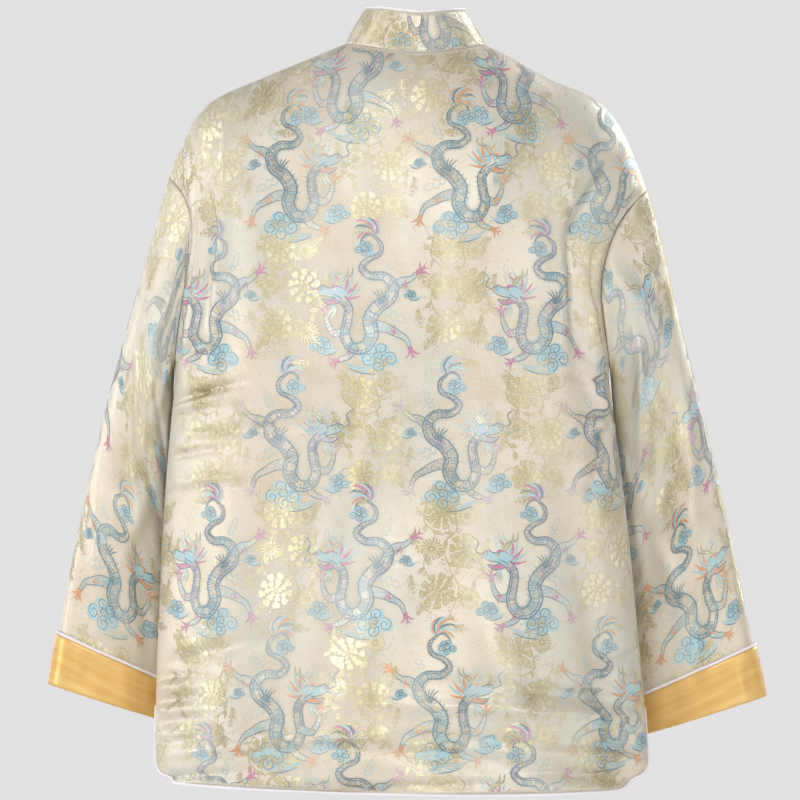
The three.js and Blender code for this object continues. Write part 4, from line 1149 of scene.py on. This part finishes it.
def cloud(draw, x, y, size, sign=1, tail=1.0):
    """Curled cloud with a filled middle, lobes and a trailing tail. Lobes and curls: x, y, radius, turn."""
    wide = sign * size
    for dx, dy, r in CLOUD_LOBES:
        draw.blob(x + wide * dx, y + dy * size, r * size, r * size * 0.86, 0.3, "cloud", 0.2, around=11)
    for dx, dy, r, start in CLOUD_CURLS:
        draw.spiral(x + wide * dx, y + dy * size, r * size, 1.6, start, "line", 0.38, sign=sign)
    for k, reach in enumerate((1.9, 1.6, 1.3)):
        low = y - size * (0.36 + 0.17 * k)
        draw.ribbon([(x + wide * 0.3, low), (x + wide * (0.3 + 0.5 * reach * tail), low - size * 0.16),
                     (x + wide * (0.3 + reach * tail), low + size * 0.06)], 0.75, "cloud", 0.26)
    draw.ribbon([(x + wide * 0.2, y - size * 0.95), (x + wide * 1.1 * tail, y - size * 0.86),
                 (x + wide * 1.9 * tail, y - size * 0.6)], 0.5, "line")


def wisp(draw, x, y, turn, size):
    """Scalloped thin outline of a small trailing cloud."""
    c, s = math.cos(turn), math.sin(turn)
    rim = [(1.5, 0.1), (0.9, 0.42), (0.5, 0.2), (0.2, 0.62), (-0.2, 0.24), (-0.6, 0.5), (-0.9, 0.0),
           (-0.55, -0.34), (-0.3, 0.0), (0.0, -0.42), (0.4, -0.04), (0.8, -0.3), (1.5, 0.1)]
    outline = [(x + size * (a * c - b * s), y + size * (a * s + b * c)) for a, b in rim]
    draw.ribbon(outline, 0.34, "cloud", 0.3, 3)


def claws(draw, x, y, turn, size):
    """Paw of four hooked claws."""
    draw.blob(x, y, size * 0.30, size * 0.24, turn, "accent", 0.28, around=9)
    for fan in (-0.85, -0.28, 0.28, 0.9):
        hook = 0.45 if fan > 0 else -0.45
        bend = polar(x, y, 0.62 * size, turn + fan - hook * 0.5)
        draw.ribbon([(x, y), bend, polar(x, y, size, turn + fan)],
                    [size * 0.11, size * 0.10, size * 0.06, 0.15], "accent", 0.32, 4)


def leg(draw, points, widths, turn, size):
    """Leg with scales, flames at the elbow and a paw."""
    draw.ribbon(points, widths, "body", 0.24, 6)
    line = curve(points, 6)
    edge_widths = spread(widths, len(line))
    along, side = along_and_side(line)
    for sign in (1, -1):
        draw.ribbon(line + sign * side * edge_widths[:, None], 0.42, "line", 0.36, 1)
    for i in range(1, len(line) - 2, 2):
        for off in (-0.4, 0.4):
            centre = line[i] + side[i] * off * edge_widths[i]
            draw.ribbon(scale_bow(centre, along[i], side[i], 1.1), 0.25, "pale", 0.37, 1)
    elbow = line[len(line) // 2]
    for k in range(3):
        a = turn + 2.2 + 0.45 * k
        draw.ribbon([elbow, polar(*elbow, 4, a - 0.3), polar(*elbow, 8, a)], 0.55, "accent", 0.3, 3)
    claws(draw, points[-1][0], points[-1][1], turn, size)


# Route of the dragon's body from its tail to its head
DRAGON_SPINE = table("x y half", [
    (-3, 50, 0.9), (-10, 43, 1.3), (-9, 34, 1.8), (1, 29, 2.2), (7, 22, 2.6), (0, 15, 3.1),
    (-13, 14, 3.6), (-21, 6, 4.2), (-18, -5, 5.0), (-7, -13, 5.6), (0, -24, 5.9), (-2, -37, 5.6),
    (5, -48, 5.0), (16, -48, 4.4), (22, -38, 4.0), (20, -26, 3.8), (19, -14, 3.6), (25, -5, 3.5),
])


def dragon():
    """Four-clawed dragon that winds down from its flaming tail, with its head at the side."""
    draw = Drawing()
    cloud(draw, -8, -57, 16.0, 1, 0.9)
    cloud(draw, 43, -46, 10.0, -1, 0.7)
    cloud(draw, 5, 39, 8.5, -1, 0.8)
    spine = curve(np.stack([DRAGON_SPINE["x"], DRAGON_SPINE["y"]], 1), 7)
    half = spread(DRAGON_SPINE["half"], len(spine))
    along, side = along_and_side(spine)
    count = len(spine)
    for start, end, role in ((0, 0.3, "accent2"), (0.3, 0.42, "body"), (0.42, 0.56, "accent2"),
                             (0.56, 0.8, "body"), (0.8, 1.0, "accent2")):
        a, b = int(start * (count - 1)), int(end * (count - 1)) + 1
        draw.ribbon(spine[a:b], list(half[a:b]), role, 0.22, 1)
    for sign in (1, -1):
        draw.ribbon(spine + sign * side * half[:, None], [0.3, 0.55, 0.6, 0.6, 0.5], "line", 0.36, 1)
    # Scales in staggered arcs over the back and plates along the belly
    travelled = arc(spine, 0)
    for row, step in enumerate(np.arange(1.0, travelled[-1] - 2, 2.1)):
        i = int(np.interp(step, travelled, np.arange(count)))
        w = half[i]
        lanes = max(1, int(round(1.35 * w / 2.5)))
        for k in range(lanes):
            place = (k + (0.75 if row % 2 else 0.25)) / lanes
            centre = spine[i] + side[i] * mix(0.92, -0.38, place) * w
            bow = scale_bow(centre, along[i], side[i], min(1.35, w * 0.45))
            draw.ribbon(bow, 0.27, "pale" if (row // 3) % 3 == 1 else "line", 0.38, 1)
        if w > 2:
            draw.ribbon([spine[i] - side[i] * w * 0.45, spine[i] - side[i] * w * 0.95 + along[i] * 0.7],
                        [0.2, 0.34, 0.2], "line", 0.38, 2)
    draw.ribbon(spine - side * half[:, None] * 0.42, [0.2, 0.3, 0.3, 0.3, 0.3], "line", 0.37, 1)
    # Fins along the back
    for i in range(6, count - 4, 2):
        w = half[i]
        size = 1.2 + 0.36 * w
        base = spine[i] + side[i] * w
        tip = base + side[i] * size - along[i] * size * 0.6
        draw.ribbon([base - along[i] * 0.9, mix(base, tip, 0.55), tip], [0.9, 0.6, 0.15], "fin", 0.3, 2)
    # Tail flame
    tail = (-3, 50)
    for k in range(9):
        a = 2.3 - 0.30 * k
        reach = 17 - abs(k - 4) * 1.7
        draw.ribbon([tail, polar(*tail, 0.5 * reach, a + 0.35), polar(*tail, reach, a - 0.15),
                     polar(*tail, reach + 3, a - 0.42)], [0.6, 1.3, 0.9, 0.2],
                    ("cloud", "accent", "line")[k % 3], 0.3, 4)
    # Legs
    leg(draw, [(-17, -1), (-27, 9), (-36, 12), (-43, 18)], [4.4, 3.6, 2.2, 1.5], 2.5, 9.5)
    leg(draw, [(-3, -29), (-14, -31), (-24, -36), (-32, -41), (-36, -50)], [5.0, 4.2, 3.0, 2.1, 1.5],
        -1.9, 9.5)
    leg(draw, [(21, -33), (31, -36), (37, -28), (39, -19)], [3.6, 2.9, 2.0, 1.4], 1.5, 9.5)
    leg(draw, [(11, -46), (19, -56), (29, -60)], [3.5, 2.6, 1.6], -0.5, 8.5)
    # Shoulder flames and the small cloud at the hind leg
    shoulder = (-9, -10)
    for k in range(5):
        a = 2.6 - 0.32 * k
        draw.ribbon([shoulder, polar(*shoulder, 7, a), polar(*shoulder, 13, a - 0.3)], 0.6, "line", 0.34, 3)
    cloud(draw, -36, -2, 5.5, -1, 0.8)
    for x, y, turn, size in ((-27, 0, 2.4, 8), (-21, -19, 3.6, 9), (34, 15, 1.4, 7), (-19, 26, 2.0, 7)):
        wisp(draw, x, y, turn, size)
    start = len(draw.points)
    head(draw, 31, 1)
    draw.enlarge(start, 31, 1, 1.22)
    return draw


def head(draw, x, y):
    """Head in profile with open jaws, teeth, brow, horns, mane, whiskers and beard."""
    neck = (x - 4, y - 1.5)
    for k in range(10):
        a = 1.55 + 0.23 * k
        reach = 15 + 3 * math.sin(2.1 * k)
        draw.ribbon([neck, polar(*neck, 0.5 * reach, a), polar(*neck, reach, a - 0.35)],
                    [0.9, 1.1, 0.2], ("accent", "cloud", "fin")[k % 3], 0.26, 4)
    draw.ribbon([(x - 7, y - 4), (x - 1, y - 0.5), (x + 5, y), (x + 11, y + 1)], [4.0, 4.6, 3.2, 2.0],
                "cloud", 0.32, 4)
    draw.ribbon([(x - 3, y - 6.5), (x + 3, y - 8), (x + 9, y - 6)], [1.9, 1.6, 0.7], "accent", 0.31, 4)
    draw.ribbon([(x - 6, y + 2), (x - 2, y + 4.2), (x + 2, y + 2.6), (x + 6, y + 3.0), (x + 9, y + 4.4),
                 (x + 12.6, y + 2.6), (x + 12, y - 0.8)], 0.5, "line", 0.40, 4)
    draw.ribbon([(x + 12, y - 0.8), (x + 7, y - 3.4), (x, y - 4.6), (x + 4, y - 6.2), (x + 10, y - 5.2)],
                0.42, "line", 0.40, 4)
    draw.ribbon([(x + 10, y - 5.6), (x + 5, y - 9.6), (x - 3, y - 8.4)], 0.42, "line", 0.40, 4)
    for k in range(4):
        draw.ribbon([(x + 3.5 + 2 * k, y - 2.8 + 0.5 * k), (x + 3.9 + 2 * k, y - 4.4 + 0.5 * k)],
                    [0.5, 0.1], "pale", 0.42, 2)
    brow = [(x - 2.6, y + 3.4), (x + 1, y + 4.2), (x + 3.4, y + 2.4)]
    draw.ribbon(brow, [0.4, 0.9, 0.3], "accent", 0.41, 4)
    draw.blob(x + 1.2, y + 1.2, 1.5, 1.1, 0, "pale", 0.42, around=8)
    draw.blob(x + 1.5, y + 1.2, 0.65, 0.65, 0, "line", 0.48, around=6)
    draw.spiral(x + 10.4, y + 2.0, 1.7, 1.1, 0.4, "line", 0.35, 0.42)
    for k in range(3):
        draw.ribbon([(x - 6 + 2.2 * k, y - 6 + k), (x - 3 + 2.2 * k, y - 3.4 + k)], 0.35, "line", 0.41, 2)
    for k in range(2):
        horn = [(x - 1 - 2.5 * k, y + 4), (x - 4 - 3 * k, y + 9), (x - 9 - 3 * k, y + 12),
                (x - 9 - 4 * k, y + 17)]
        draw.ribbon(horn, [1.0, 1.1, 0.8, 0.2], "pale", 0.36, 4)
        draw.ribbon(horn, 0.3, "line", 0.44, 4)
    chin = (x + 1, y - 8.5)
    for k in range(6):
        a = -1.0 - 0.2 * k
        draw.ribbon([chin, polar(*chin, 5, a), polar(*chin, 11, a + 0.35)], 0.5,
                    "cloud" if k % 2 else "pale", 0.34, 3)
    draw.ribbon([(x + 12, y + 1), (x + 18, y + 4), (x + 16, y + 10), (x + 21, y + 15)], 0.42, "line", 0.36, 5)
    draw.ribbon([(x + 12, y), (x + 18, y - 3), (x + 23, y + 1)], 0.42, "fin", 0.36, 5)


def petal(draw, x, y, turn, length, wide, lift):
    """Rounded petal with a dark rim, broader at its outer end."""
    c, s = math.cos(turn), math.sin(turn)
    shape = [(-0.5, 0.0), (-0.34, 0.42), (0.05, 0.86), (0.36, 0.92), (0.52, 0.55), (0.44, 0.0),
             (0.52, -0.55), (0.36, -0.92), (0.05, -0.86), (-0.34, -0.42)]
    rim = [(x + length * a * c - wide * b * s, y + length * a * s + wide * b * c) for a, b in shape]
    count = len(rim)
    draw.add([(x, y)] + rim, [(0, 1 + k, 1 + (k + 1) % count) for k in range(count)], "pale_gold", lift)
    draw.ribbon(rim + rim[:1], [0.42, 0.42], "gold", lift + 0.08, 1)
    vein = [polar(x, y, -0.3 * length, turn), polar(x, y, 0.25 * length, turn)]
    draw.ribbon(vein, [0.25, 0.4, 0.2], "gold", lift + 0.08, 2)


def peony(draw, x, y, size, turn):
    """Open peony of separate petals in three rings."""
    for ring, (count, reach, length, wide) in enumerate(((9, 0.80, 0.40, 0.22), (7, 0.47, 0.28, 0.17),
                                                         (5, 0.22, 0.20, 0.10))):
        for k in range(count):
            a = turn + 2 * math.pi * (k + 0.5 * ring) / count
            r = size * reach * (1 + 0.05 * math.sin(5 * k + 9 * turn))
            petal(draw, *polar(x, y, r, a), a, size * length, size * wide, 0.22 + 0.02 * ring)
    draw.blob(x, y, size * 0.07, size * 0.07, 0, "gold", 0.3, around=7)


def chrysanthemum(draw, x, y, size, turn):
    """Full round flower of narrow petals."""
    for ring, (count, low, high) in enumerate(((18, 0.62, 1.0), (14, 0.36, 0.68), (9, 0.10, 0.38))):
        for k in range(count):
            a = turn + 2 * math.pi * (k + 0.5 * ring) / count
            draw.ribbon([polar(x, y, size * low, a), polar(x, y, size * mix(low, high, 0.6), a + 0.14),
                         polar(x, y, size * high, a)], [0.25, size * 0.075, size * 0.05],
                        ("gold", "pale_gold")[ring % 2], 0.26 + 0.03 * ring, 2)


def leaf(draw, x, y, turn, length, role):
    """Pointed leaf in two halves, with its midrib left in the ground's colour."""
    for sign in (1, -1):
        bend = polar(x, y, 0.5 * length, turn + 0.28 * sign)
        draw.ribbon([(x, y), bend, polar(x, y, length, turn)], [0.15, length * 0.10, 0.15], role, 0.28, 3)


SCATTERED = 640  # small marks of gold strewn over one spray


def spray(kind, rng):
    """Gold spray that fills the place between the dragons."""
    draw = Drawing()
    if kind == 0:
        peonies = [(8, 40, 14, 0.2), (-14, 6, 15, 0.9), (12, -30, 15.5, 0.5)]
        rounds = [(-16, 38, 9, 0.1), (17, 8, 10, 0.6), (-17, -36, 10, 0.3)]
        stems = [[(-20, 60), (-4, 52), (-6, 26), (6, 12), (0, -10), (-8, -30), (4, -58)],
                 [(20, 56), (24, 34), (14, 20), (24, -4), (18, -20)],
                 [(-26, 24), (-24, 6), (-30, -12), (-20, -24), (-26, -50)]]
    else:
        peonies = [(-10, 34, 15, 0.7), (13, -4, 14.5, 0.1), (-8, -42, 14, 0.4)]
        rounds = [(15, 44, 9.5, 0.4), (-17, 2, 10, 0.0), (17, -38, 9, 0.8)]
        stems = [[(18, 62), (2, 50), (8, 22), (-6, 10), (2, -16), (12, -34), (-4, -60)],
                 [(-22, 58), (-26, 30), (-14, 16), (-26, -8), (-16, -22)],
                 [(27, 26), (23, 8), (30, -14), (20, -26), (27, -52)]]
    for x, y, size, turn in peonies:
        peony(draw, x, y, size, turn)
    for x, y, size, turn in rounds:
        chrysanthemum(draw, x, y, size, turn)
    for stem in stems:
        draw.ribbon(stem, [0.4, 0.5, 0.45, 0.4, 0.3], "gold", 0.26, 7)
        line = curve(stem, 4)
        for i in range(1, len(line) - 1, 2):
            along = line[i + 1] - line[i - 1]
            turn = math.atan2(along[1], along[0])
            sign = 1 if i % 4 == 1 else -1
            leaf(draw, line[i][0], line[i][1], turn + sign * rng.uniform(0.6, 1.1), rng.uniform(6, 9.5),
                 "gold" if rng.random() < 0.6 else "pale_gold")
            if rng.random() < 0.35:
                draw.spiral(line[i][0] - sign * 3.5, line[i][1] + 2, rng.uniform(2.2, 3.6), 1.2,
                            rng.uniform(0, 6), "gold", 0.36, 0.28, sign)
    for x, y, dx, dy in ((-32, 50, 9, -13), (30, -52, -9, 13), (33, 24, -4, -15), (-34, -20, 5, 15),
                         (0, 60, 13, 2), (-2, -62, -13, -2), (-36, 18, 2, -14), (35, -14, -2, -14)):
        draw.comb([(x, y), (x + dx * 0.6 + 2, y + dy * 0.5), (x + dx * 1.3, y + dy * 1.3)], 4.4, "gold",
                  count=7, half=0.4)
    for x, y, turn, sign in ((-28, 34, 0.5, 1), (28, -28, 3.4, 1), (-30, -40, 1.2, -1), (30, 44, 4.4, -1),
                             (27, 4, 2.0, 1), (-30, -2, 5.2, -1)):
        bend = [polar(x, y, t * 9, turn + sign * 0.5 * t) for t in (0, 0.6, 1.2, 1.8)]
        draw.ribbon(bend, 0.4, "gold", 0.28, 5)
        draw.spiral(bend[-1][0], bend[-1][1] - 2.6, 2.8, 1.3, 1.57, "gold", 0.36, 0.28, sign)
    for _ in range(SCATTERED):
        x, y = rng.gauss(0, 20), rng.uniform(-66, 66)
        turn = rng.uniform(0, math.pi)
        size = rng.uniform(0.5, 1.15)
        c, s = math.cos(turn) * size, math.sin(turn) * size
        draw.add([(x + c, y + s), (x - s * 0.5, y + c * 0.5), (x - c, y - s), (x + s * 0.5, y - c * 0.5)],
                 [(0, 1, 2, 3)], "gold" if rng.random() < 0.7 else "pale_gold", 0.2)
    return draw


# Threads of the parts that a figure's strokes play, alike in all palettes and then in each
SHARED_ROLES = {"cloud": "light_blue", "line": "outline", "fin": "teal", "pale": "pale_gold",
                "gold": "gold", "pale_gold": "pale_gold"}
PALETTES = {
    "amber": {"body": "teal", "accent": "orange", "accent2": "slate"},
    "rose": {"body": "sky", "accent": "magenta", "accent2": "lilac"},
    "mist": {"body": "slate", "accent": "lilac", "accent2": "lilac"},
    "gold": {},
}
THREAD_NAMES = list(THREADS)
pattern_rng = random.Random(11)
FIGURES = {"dragon": dragon(), "spray0": spray(0, pattern_rng), "spray1": spray(1, pattern_rng)}
for name, factor in (("dragon", 1.12), ("spray0", 1.10), ("spray1", 1.10)):
    FIGURES[name].enlarge(0, 0, 0, factor)
EDGE_MARGIN = 0.006  # what figures keep clear of a panel's edges, in radians
EDGE_ROOM = 1.5  # the same at its ends, in millimetres


def between(values, i, k):
    """Values of a grid at fractional places i along its first side and k along its second."""
    i = np.clip(i, 0, values.shape[0] - 1.001)
    k = np.clip(k, 0, values.shape[1] - 1.001)
    i0, k0 = i.astype(int), k.astype(int)
    a, b = i - i0, k - k0
    if values.ndim == 3:
        a, b = a[:, None], b[:, None]
    return (values[i0, k0] * (1 - a) * (1 - b) + values[i0 + 1, k0] * a * (1 - b)
            + values[i0, k0 + 1] * (1 - a) * b + values[i0 + 1, k0 + 1] * a * b)


class TorsoCloth:
    """Finds the point of a panel that lies so far across from the middle and at such a height."""

    STEP_U, STEP_Z = 3.0, 6.0

    def __init__(self, name):
        panel = PANELS[name]
        self.grid, self.normals = panel["grid"], panel["normals"]
        self.turn = np.array([c[0] for c in panel["columns"]])
        self.top = np.array([c[1] for c in panel["columns"]])
        self.order = slice(None, None, 1 if self.turn[-1] > self.turn[0] else -1)
        self.z = np.arange(-746.0, 26.0, self.STEP_Z)
        theta = np.linspace(-math.pi / 2, math.pi / 2, 421)
        across = arc(torso_point(theta[:, None], panel["facing"], self.z[None, :]), 0)
        middle = len(theta) // 2
        across = across - across[middle:middle + 1]
        self.u = np.arange(-360.0, 361.0, self.STEP_U)
        self.theta = np.stack([np.interp(self.u, across[:, k], theta) for k in range(len(self.z))], 1)
        self.ends = np.stack([across[0], across[-1]], 1)

    def place(self, u, z):
        """Points, normals and whether a figure may lie there."""
        theta = between(self.theta, (u - self.u[0]) / self.STEP_U, (z - self.z[0]) / self.STEP_Z)
        left, right = np.interp(z, self.z, self.ends[:, 0]), np.interp(z, self.z, self.ends[:, 1])
        turn, places = self.turn[self.order], np.arange(len(self.turn))[self.order]
        top, hem = np.interp(theta, turn, self.top[self.order]), hem_z(theta)
        good = (u > left + 1) & (u < right - 1) & (z < top - EDGE_ROOM) & (z > hem + EDGE_ROOM)
        good &= (theta > turn[0] + EDGE_MARGIN) & (theta < turn[-1] - EDGE_MARGIN)
        low = LOW_ROWS * (z - hem) / (UNDERARM_Z - hem)
        share = np.clip((z - UNDERARM_Z) / (top - UNDERARM_Z), 0, 1)
        row = np.where(z < UNDERARM_Z, low, LOW_ROWS + HIGH_ROWS * np.arccos(1 - 2 * share) / math.pi)
        column = np.interp(theta, turn, places)
        return between(self.grid, column, row), unit(between(self.normals, column, row)), good


class SleeveCloth:
    """Finds the point of a sleeve so far round from the middle of its back and down from the armhole."""

    STEP_U, RUNS = 2.5, 120

    def __init__(self, side):
        sleeve = SLEEVES[side]
        self.grid, self.normals = (np.concatenate([sleeve[k], sleeve[k][:1]]) for k in ("grid", "normals"))
        runs = np.linspace(0, 1, self.RUNS + 1)
        angle = np.linspace(-math.pi, math.pi, 481)  # cut at the underarm seam
        sheet = sleeve_point(side, runs[None, :], angle[:, None])
        around = arc(sheet, 0)
        middle = int(np.argmin(np.abs(angle - math.pi / 2)))
        sign = -1 if side == "left" else 1
        around = sign * (around - around[middle:middle + 1])
        self.runs, self.down = runs, arc(sheet, 1).mean(0)
        self.limit = self.down[-1] * sleeve["cuff_top"] - 3
        self.u = np.arange(-300.0, 301.0, self.STEP_U)
        order = slice(None, None, sign)
        turned = angle[order]
        self.angle = np.stack([np.interp(self.u, around[order, k], turned) for k in range(len(runs))], 1)
        self.ends = np.stack([around[order][0], around[order][-1]], 1)

    def place(self, u, down):
        run = np.interp(down, self.down, self.runs)
        low, high = np.interp(run, self.runs, self.ends[:, 0]), np.interp(run, self.runs, self.ends[:, 1])
        good = (u > low + 0.5) & (u < high - 0.5) & (down > EDGE_ROOM) & (down < self.limit)
        angle = between(self.angle, (u - self.u[0]) / self.STEP_U, run * self.RUNS)
        column, row = np.mod(angle / (2 * math.pi), 1) * SLEEVE_SIDES, run * SLEEVE_ROWS
        return between(self.grid, column, row), unit(between(self.normals, column, row)), good


def lay_figures(name, cloth, places, down=False):
    """One object of the figures on a panel. A place is figure, across, along, mirrored, palette."""
    flat, faces, threads = [], [], []
    start = 0
    for figure, u, v, mirrored, palette in places:
        draw = FIGURES[figure]
        points = np.array(draw.points) * (-1 if mirrored else 1, -1 if down else 1, 1) + (u, v, 0)
        corners = np.array(draw.faces)
        flat.append(points)
        faces.append(np.where(corners >= 0, corners + start, -1))
        roles = {**SHARED_ROLES, **PALETTES[palette]}
        threads += [THREAD_NAMES.index(roles[role]) for role in draw.roles]
        start += len(points)
    flat, faces, threads = np.concatenate(flat), np.concatenate(faces), np.array(threads)
    points, normals, good = cloth.place(flat[:, 0], flat[:, 1])
    points = points + normals * flat[:, 2:3]
    kept = np.all(np.where(faces >= 0, good[faces], True), axis=1)
    faces, threads = faces[kept], threads[kept]
    a, b, c = (points[faces[:, i]] for i in range(3))
    inward = np.sum(np.cross(b - a, c - a) * normals[faces[:, 0]], -1) < 0
    square = faces[:, 3] >= 0
    turned = np.where(square[:, None], faces[:, [0, 3, 2, 1]], faces[:, [0, 2, 1, 3]])
    faces = np.where(inward[:, None], turned, faces)
    used, renamed = np.unique(faces, return_inverse=True)
    renamed = renamed.reshape(faces.shape)
    if used[0] < 0:
        used, renamed = used[1:], renamed - 1
    out_faces = [face[:4 if whole else 3] for face, whole in zip(renamed.tolist(), square.tolist())]
    uvs = flat[used][:, :2] * MM * (1, -1 if down else 1)
    made = make_object(name, points[used], out_faces, list(THREADS.values()), uvs, threads)
    state(made)
    return made


def lay_brocade(name, cloth, places, down=False):
    """The dragons and the gold sprays of a panel, each set as one object."""
    dragons = [place for place in places if place[0] == "dragon"]
    sprays = [place for place in places if place[0] != "dragon"]
    return [lay_figures("dragons_" + name, cloth, dragons, down),
            lay_figures("sprays_" + name, cloth, sprays, down)]


# Rows of figures on the torso: height of the middle, places of dragons and of sprays across the
# back, mirrored, palette
TORSO_ROWS = [
    (-14, (50, -122), (-36, 136, 222), True, "rose"),
    (-112, (115, -55, -222), (30, -139, 200, 280), False, "amber"),
    (-242, (196, 35, -140), (-52, 116, 276, -228), True, "rose"),
    (-378, (115, -46, -214), (34, -130, 200, -296), False, "mist"),
    (-504, (198, 40, -130), (-45, 119, 280, -214), True, "rose"),
    (-636, (128, -36, -212), (46, -122, 214, -292), False, "amber"),
    (-742, (206, 58, -116), (-28, 132, 286, -200), True, "rose"),
]


def torso_places(shift, flip, from_front):
    """Places of a panel's figures. The fronts carry the same rows, moved across or turned round."""
    places = []
    for n, (z, dragons, sprays, mirrored, palette) in enumerate(TORSO_ROWS):
        for u in sprays:
            places.append(("spray%d" % (n % 2), flip * u + shift, z, mirrored == from_front, "gold"))
        for u in dragons:
            places.append(("dragon", flip * u + shift, z, mirrored == from_front, palette))
    return places


# Rows of dragons on a sleeve: down from the armhole, round from the middle of its back, mirrored, palette
SLEEVE_DRAGONS = {
    "left": [(23, (0, 168), False, "mist"), (165, (-78, 90), True, "rose"),
             (308, (14, 182), False, "amber"), (450, (-70, 98), True, "rose")],
    "right": [(56, (-2, -170), False, "mist"), (192, (-90, 78), True, "rose"),
              (328, (-10, -178), False, "amber"), (464, (-94, 74), True, "rose")],
}
PITCH = 168  # from one dragon to the next in a row


def sleeve_places(side):
    """Places of a sleeve's figures, with each row going on round the front."""
    places = []
    out = 1 if side == "left" else -1
    for n, (down, around, mirrored, palette) in enumerate(SLEEVE_DRAGONS[side]):
        row = sorted({*around, around[0] + out * PITCH, max(around, key=lambda u: out * u) + out * PITCH})
        for u in row:
            places.append(("spray%d" % (n % 2), u - out * PITCH / 2, down, mirrored, "gold"))
            places.append(("dragon", u, down, not mirrored, palette))
    return places


for name, shift, flip in (("back_panel", 0, 1), ("front_left", 30, 1), ("front_right", -30, -1)):
    places = torso_places(shift, flip, PANELS[name]["facing"] < 0)
    lay_brocade(name, TorsoCloth(name), places)
for side in ("left", "right"):
    name = "sleeve_" + side
    lay_brocade(name, SleeveCloth(side), sleeve_places(side), True)


class CollarCloth:
    """Finds the point of the collar so far round from the centre back and up from its seam."""

    def place(self, u, v):
        columns = collar_uv[:, 0, 0]
        i, k = np.interp(u, columns, np.arange(len(columns))), v / COLLAR_HEIGHT * COLLAR_ROWS
        good = (np.abs(u) < columns[-1] - COLLAR_CORNER) & (v > 1) & (v < COLLAR_HEIGHT - 1)
        return between(collar_grid, i, k), unit(between(collar_normals, i, k)), good


collar_places = [("spray0", 30, 6, False, "gold"), ("spray1", 92, 30, False, "gold"),
                 ("spray1", -84, 14, True, "gold"), ("spray0", 160, 10, True, "gold"),
                 ("spray0", -160, 22, False, "gold"), ("dragon", -34, 62, False, "mist"),
                 ("dragon", 126, -18, True, "rose"), ("dragon", -126, -20, False, "amber")]
lay_brocade("collar", CollarCloth(), collar_places)


# Floor and light
FLOOR_GREY, FLOOR_GLOW = 0.40, 0.48  # together the backdrop's grey, with a soft shadow
FLOOR_HALF, FLOOR_Z = 6.5, -1.12
floor_shader = Shader("plain_floor", Roughness=0.9, Emission_Color=(1, 1, 1, 1), Emission_Strength=FLOOR_GLOW)
floor_shader.colour(floor_shader.blend(floor_shader.noise(2.0, uv=False), (FLOOR_GREY,) * 3 + (1,),
                                       (FLOOR_GREY * 1.03,) * 3 + (1,)))
floor_mesh = bpy.data.meshes.new("floor")
floor_mesh.from_pydata([(FLOOR_HALF * x, FLOOR_HALF * y, 0) for x, y in ((-1, -1), (1, -1), (1, 1), (-1, 1))],
                       [], [(0, 1, 2, 3)])
floor_mesh.materials.append(floor_shader.material)
floor = bpy.data.objects.new("floor", floor_mesh)
floor.location = (0, 0, FLOOR_Z)
scene.collection.objects.link(floor)

BACKDROP = 0.753  # the photograph's plain grey, as the camera sees it
AMBIENT = 0.42  # what the surroundings give the cloth
world = bpy.data.worlds.new("studio")
scene.world = world
world.use_nodes = True
nodes, links = world.node_tree.nodes, world.node_tree.links
nodes["Background"].inputs["Color"].default_value = (BACKDROP, BACKDROP, BACKDROP, 1)
soft = nodes.new("ShaderNodeBackground")
soft.inputs["Color"].default_value = (AMBIENT, AMBIENT, AMBIENT, 1)
ray, chosen = nodes.new("ShaderNodeLightPath"), nodes.new("ShaderNodeMixShader")
links.new(ray.outputs["Is Camera Ray"], chosen.inputs[0])
links.new(soft.outputs[0], chosen.inputs[1])
links.new(nodes["Background"].outputs[0], chosen.inputs[2])
links.new(chosen.outputs[0], nodes["World Output"].inputs["Surface"])
scene.view_settings.view_transform = "Standard"


def add_area(name, place, target, size, power):
    """Square lamp of a size in metres at a place, turned to a target, with its power in watts."""
    data = bpy.data.lights.new(name, "AREA")
    data.shape = "RECTANGLE"
    data.size = data.size_y = size
    data.energy = power
    made = bpy.data.objects.new(name, data)
    made.location = place
    made.rotation_euler = (Vector(target) - Vector(place)).to_track_quat("-Z", "Y").to_euler()
    scene.collection.objects.link(made)


add_area("key", (0.8, 4.8, 2.3), (0, 0, -0.35), 1.5, 112)
add_area("side", (3.8, 0.5, 0.3), (0.2, 0, -0.45), 0.8, 44)
add_area("fill", (-2.2, 3.9, 0.7), (0, 0, -0.2), 1.5, 30)
add_area("front_key", (-2.6, -2.6, 1.2), (0, 0, -0.35), 1.4, 84)
add_area("front_fill", (2.4, -2.8, 0.2), (0, 0, -0.4), 1.8, 18)
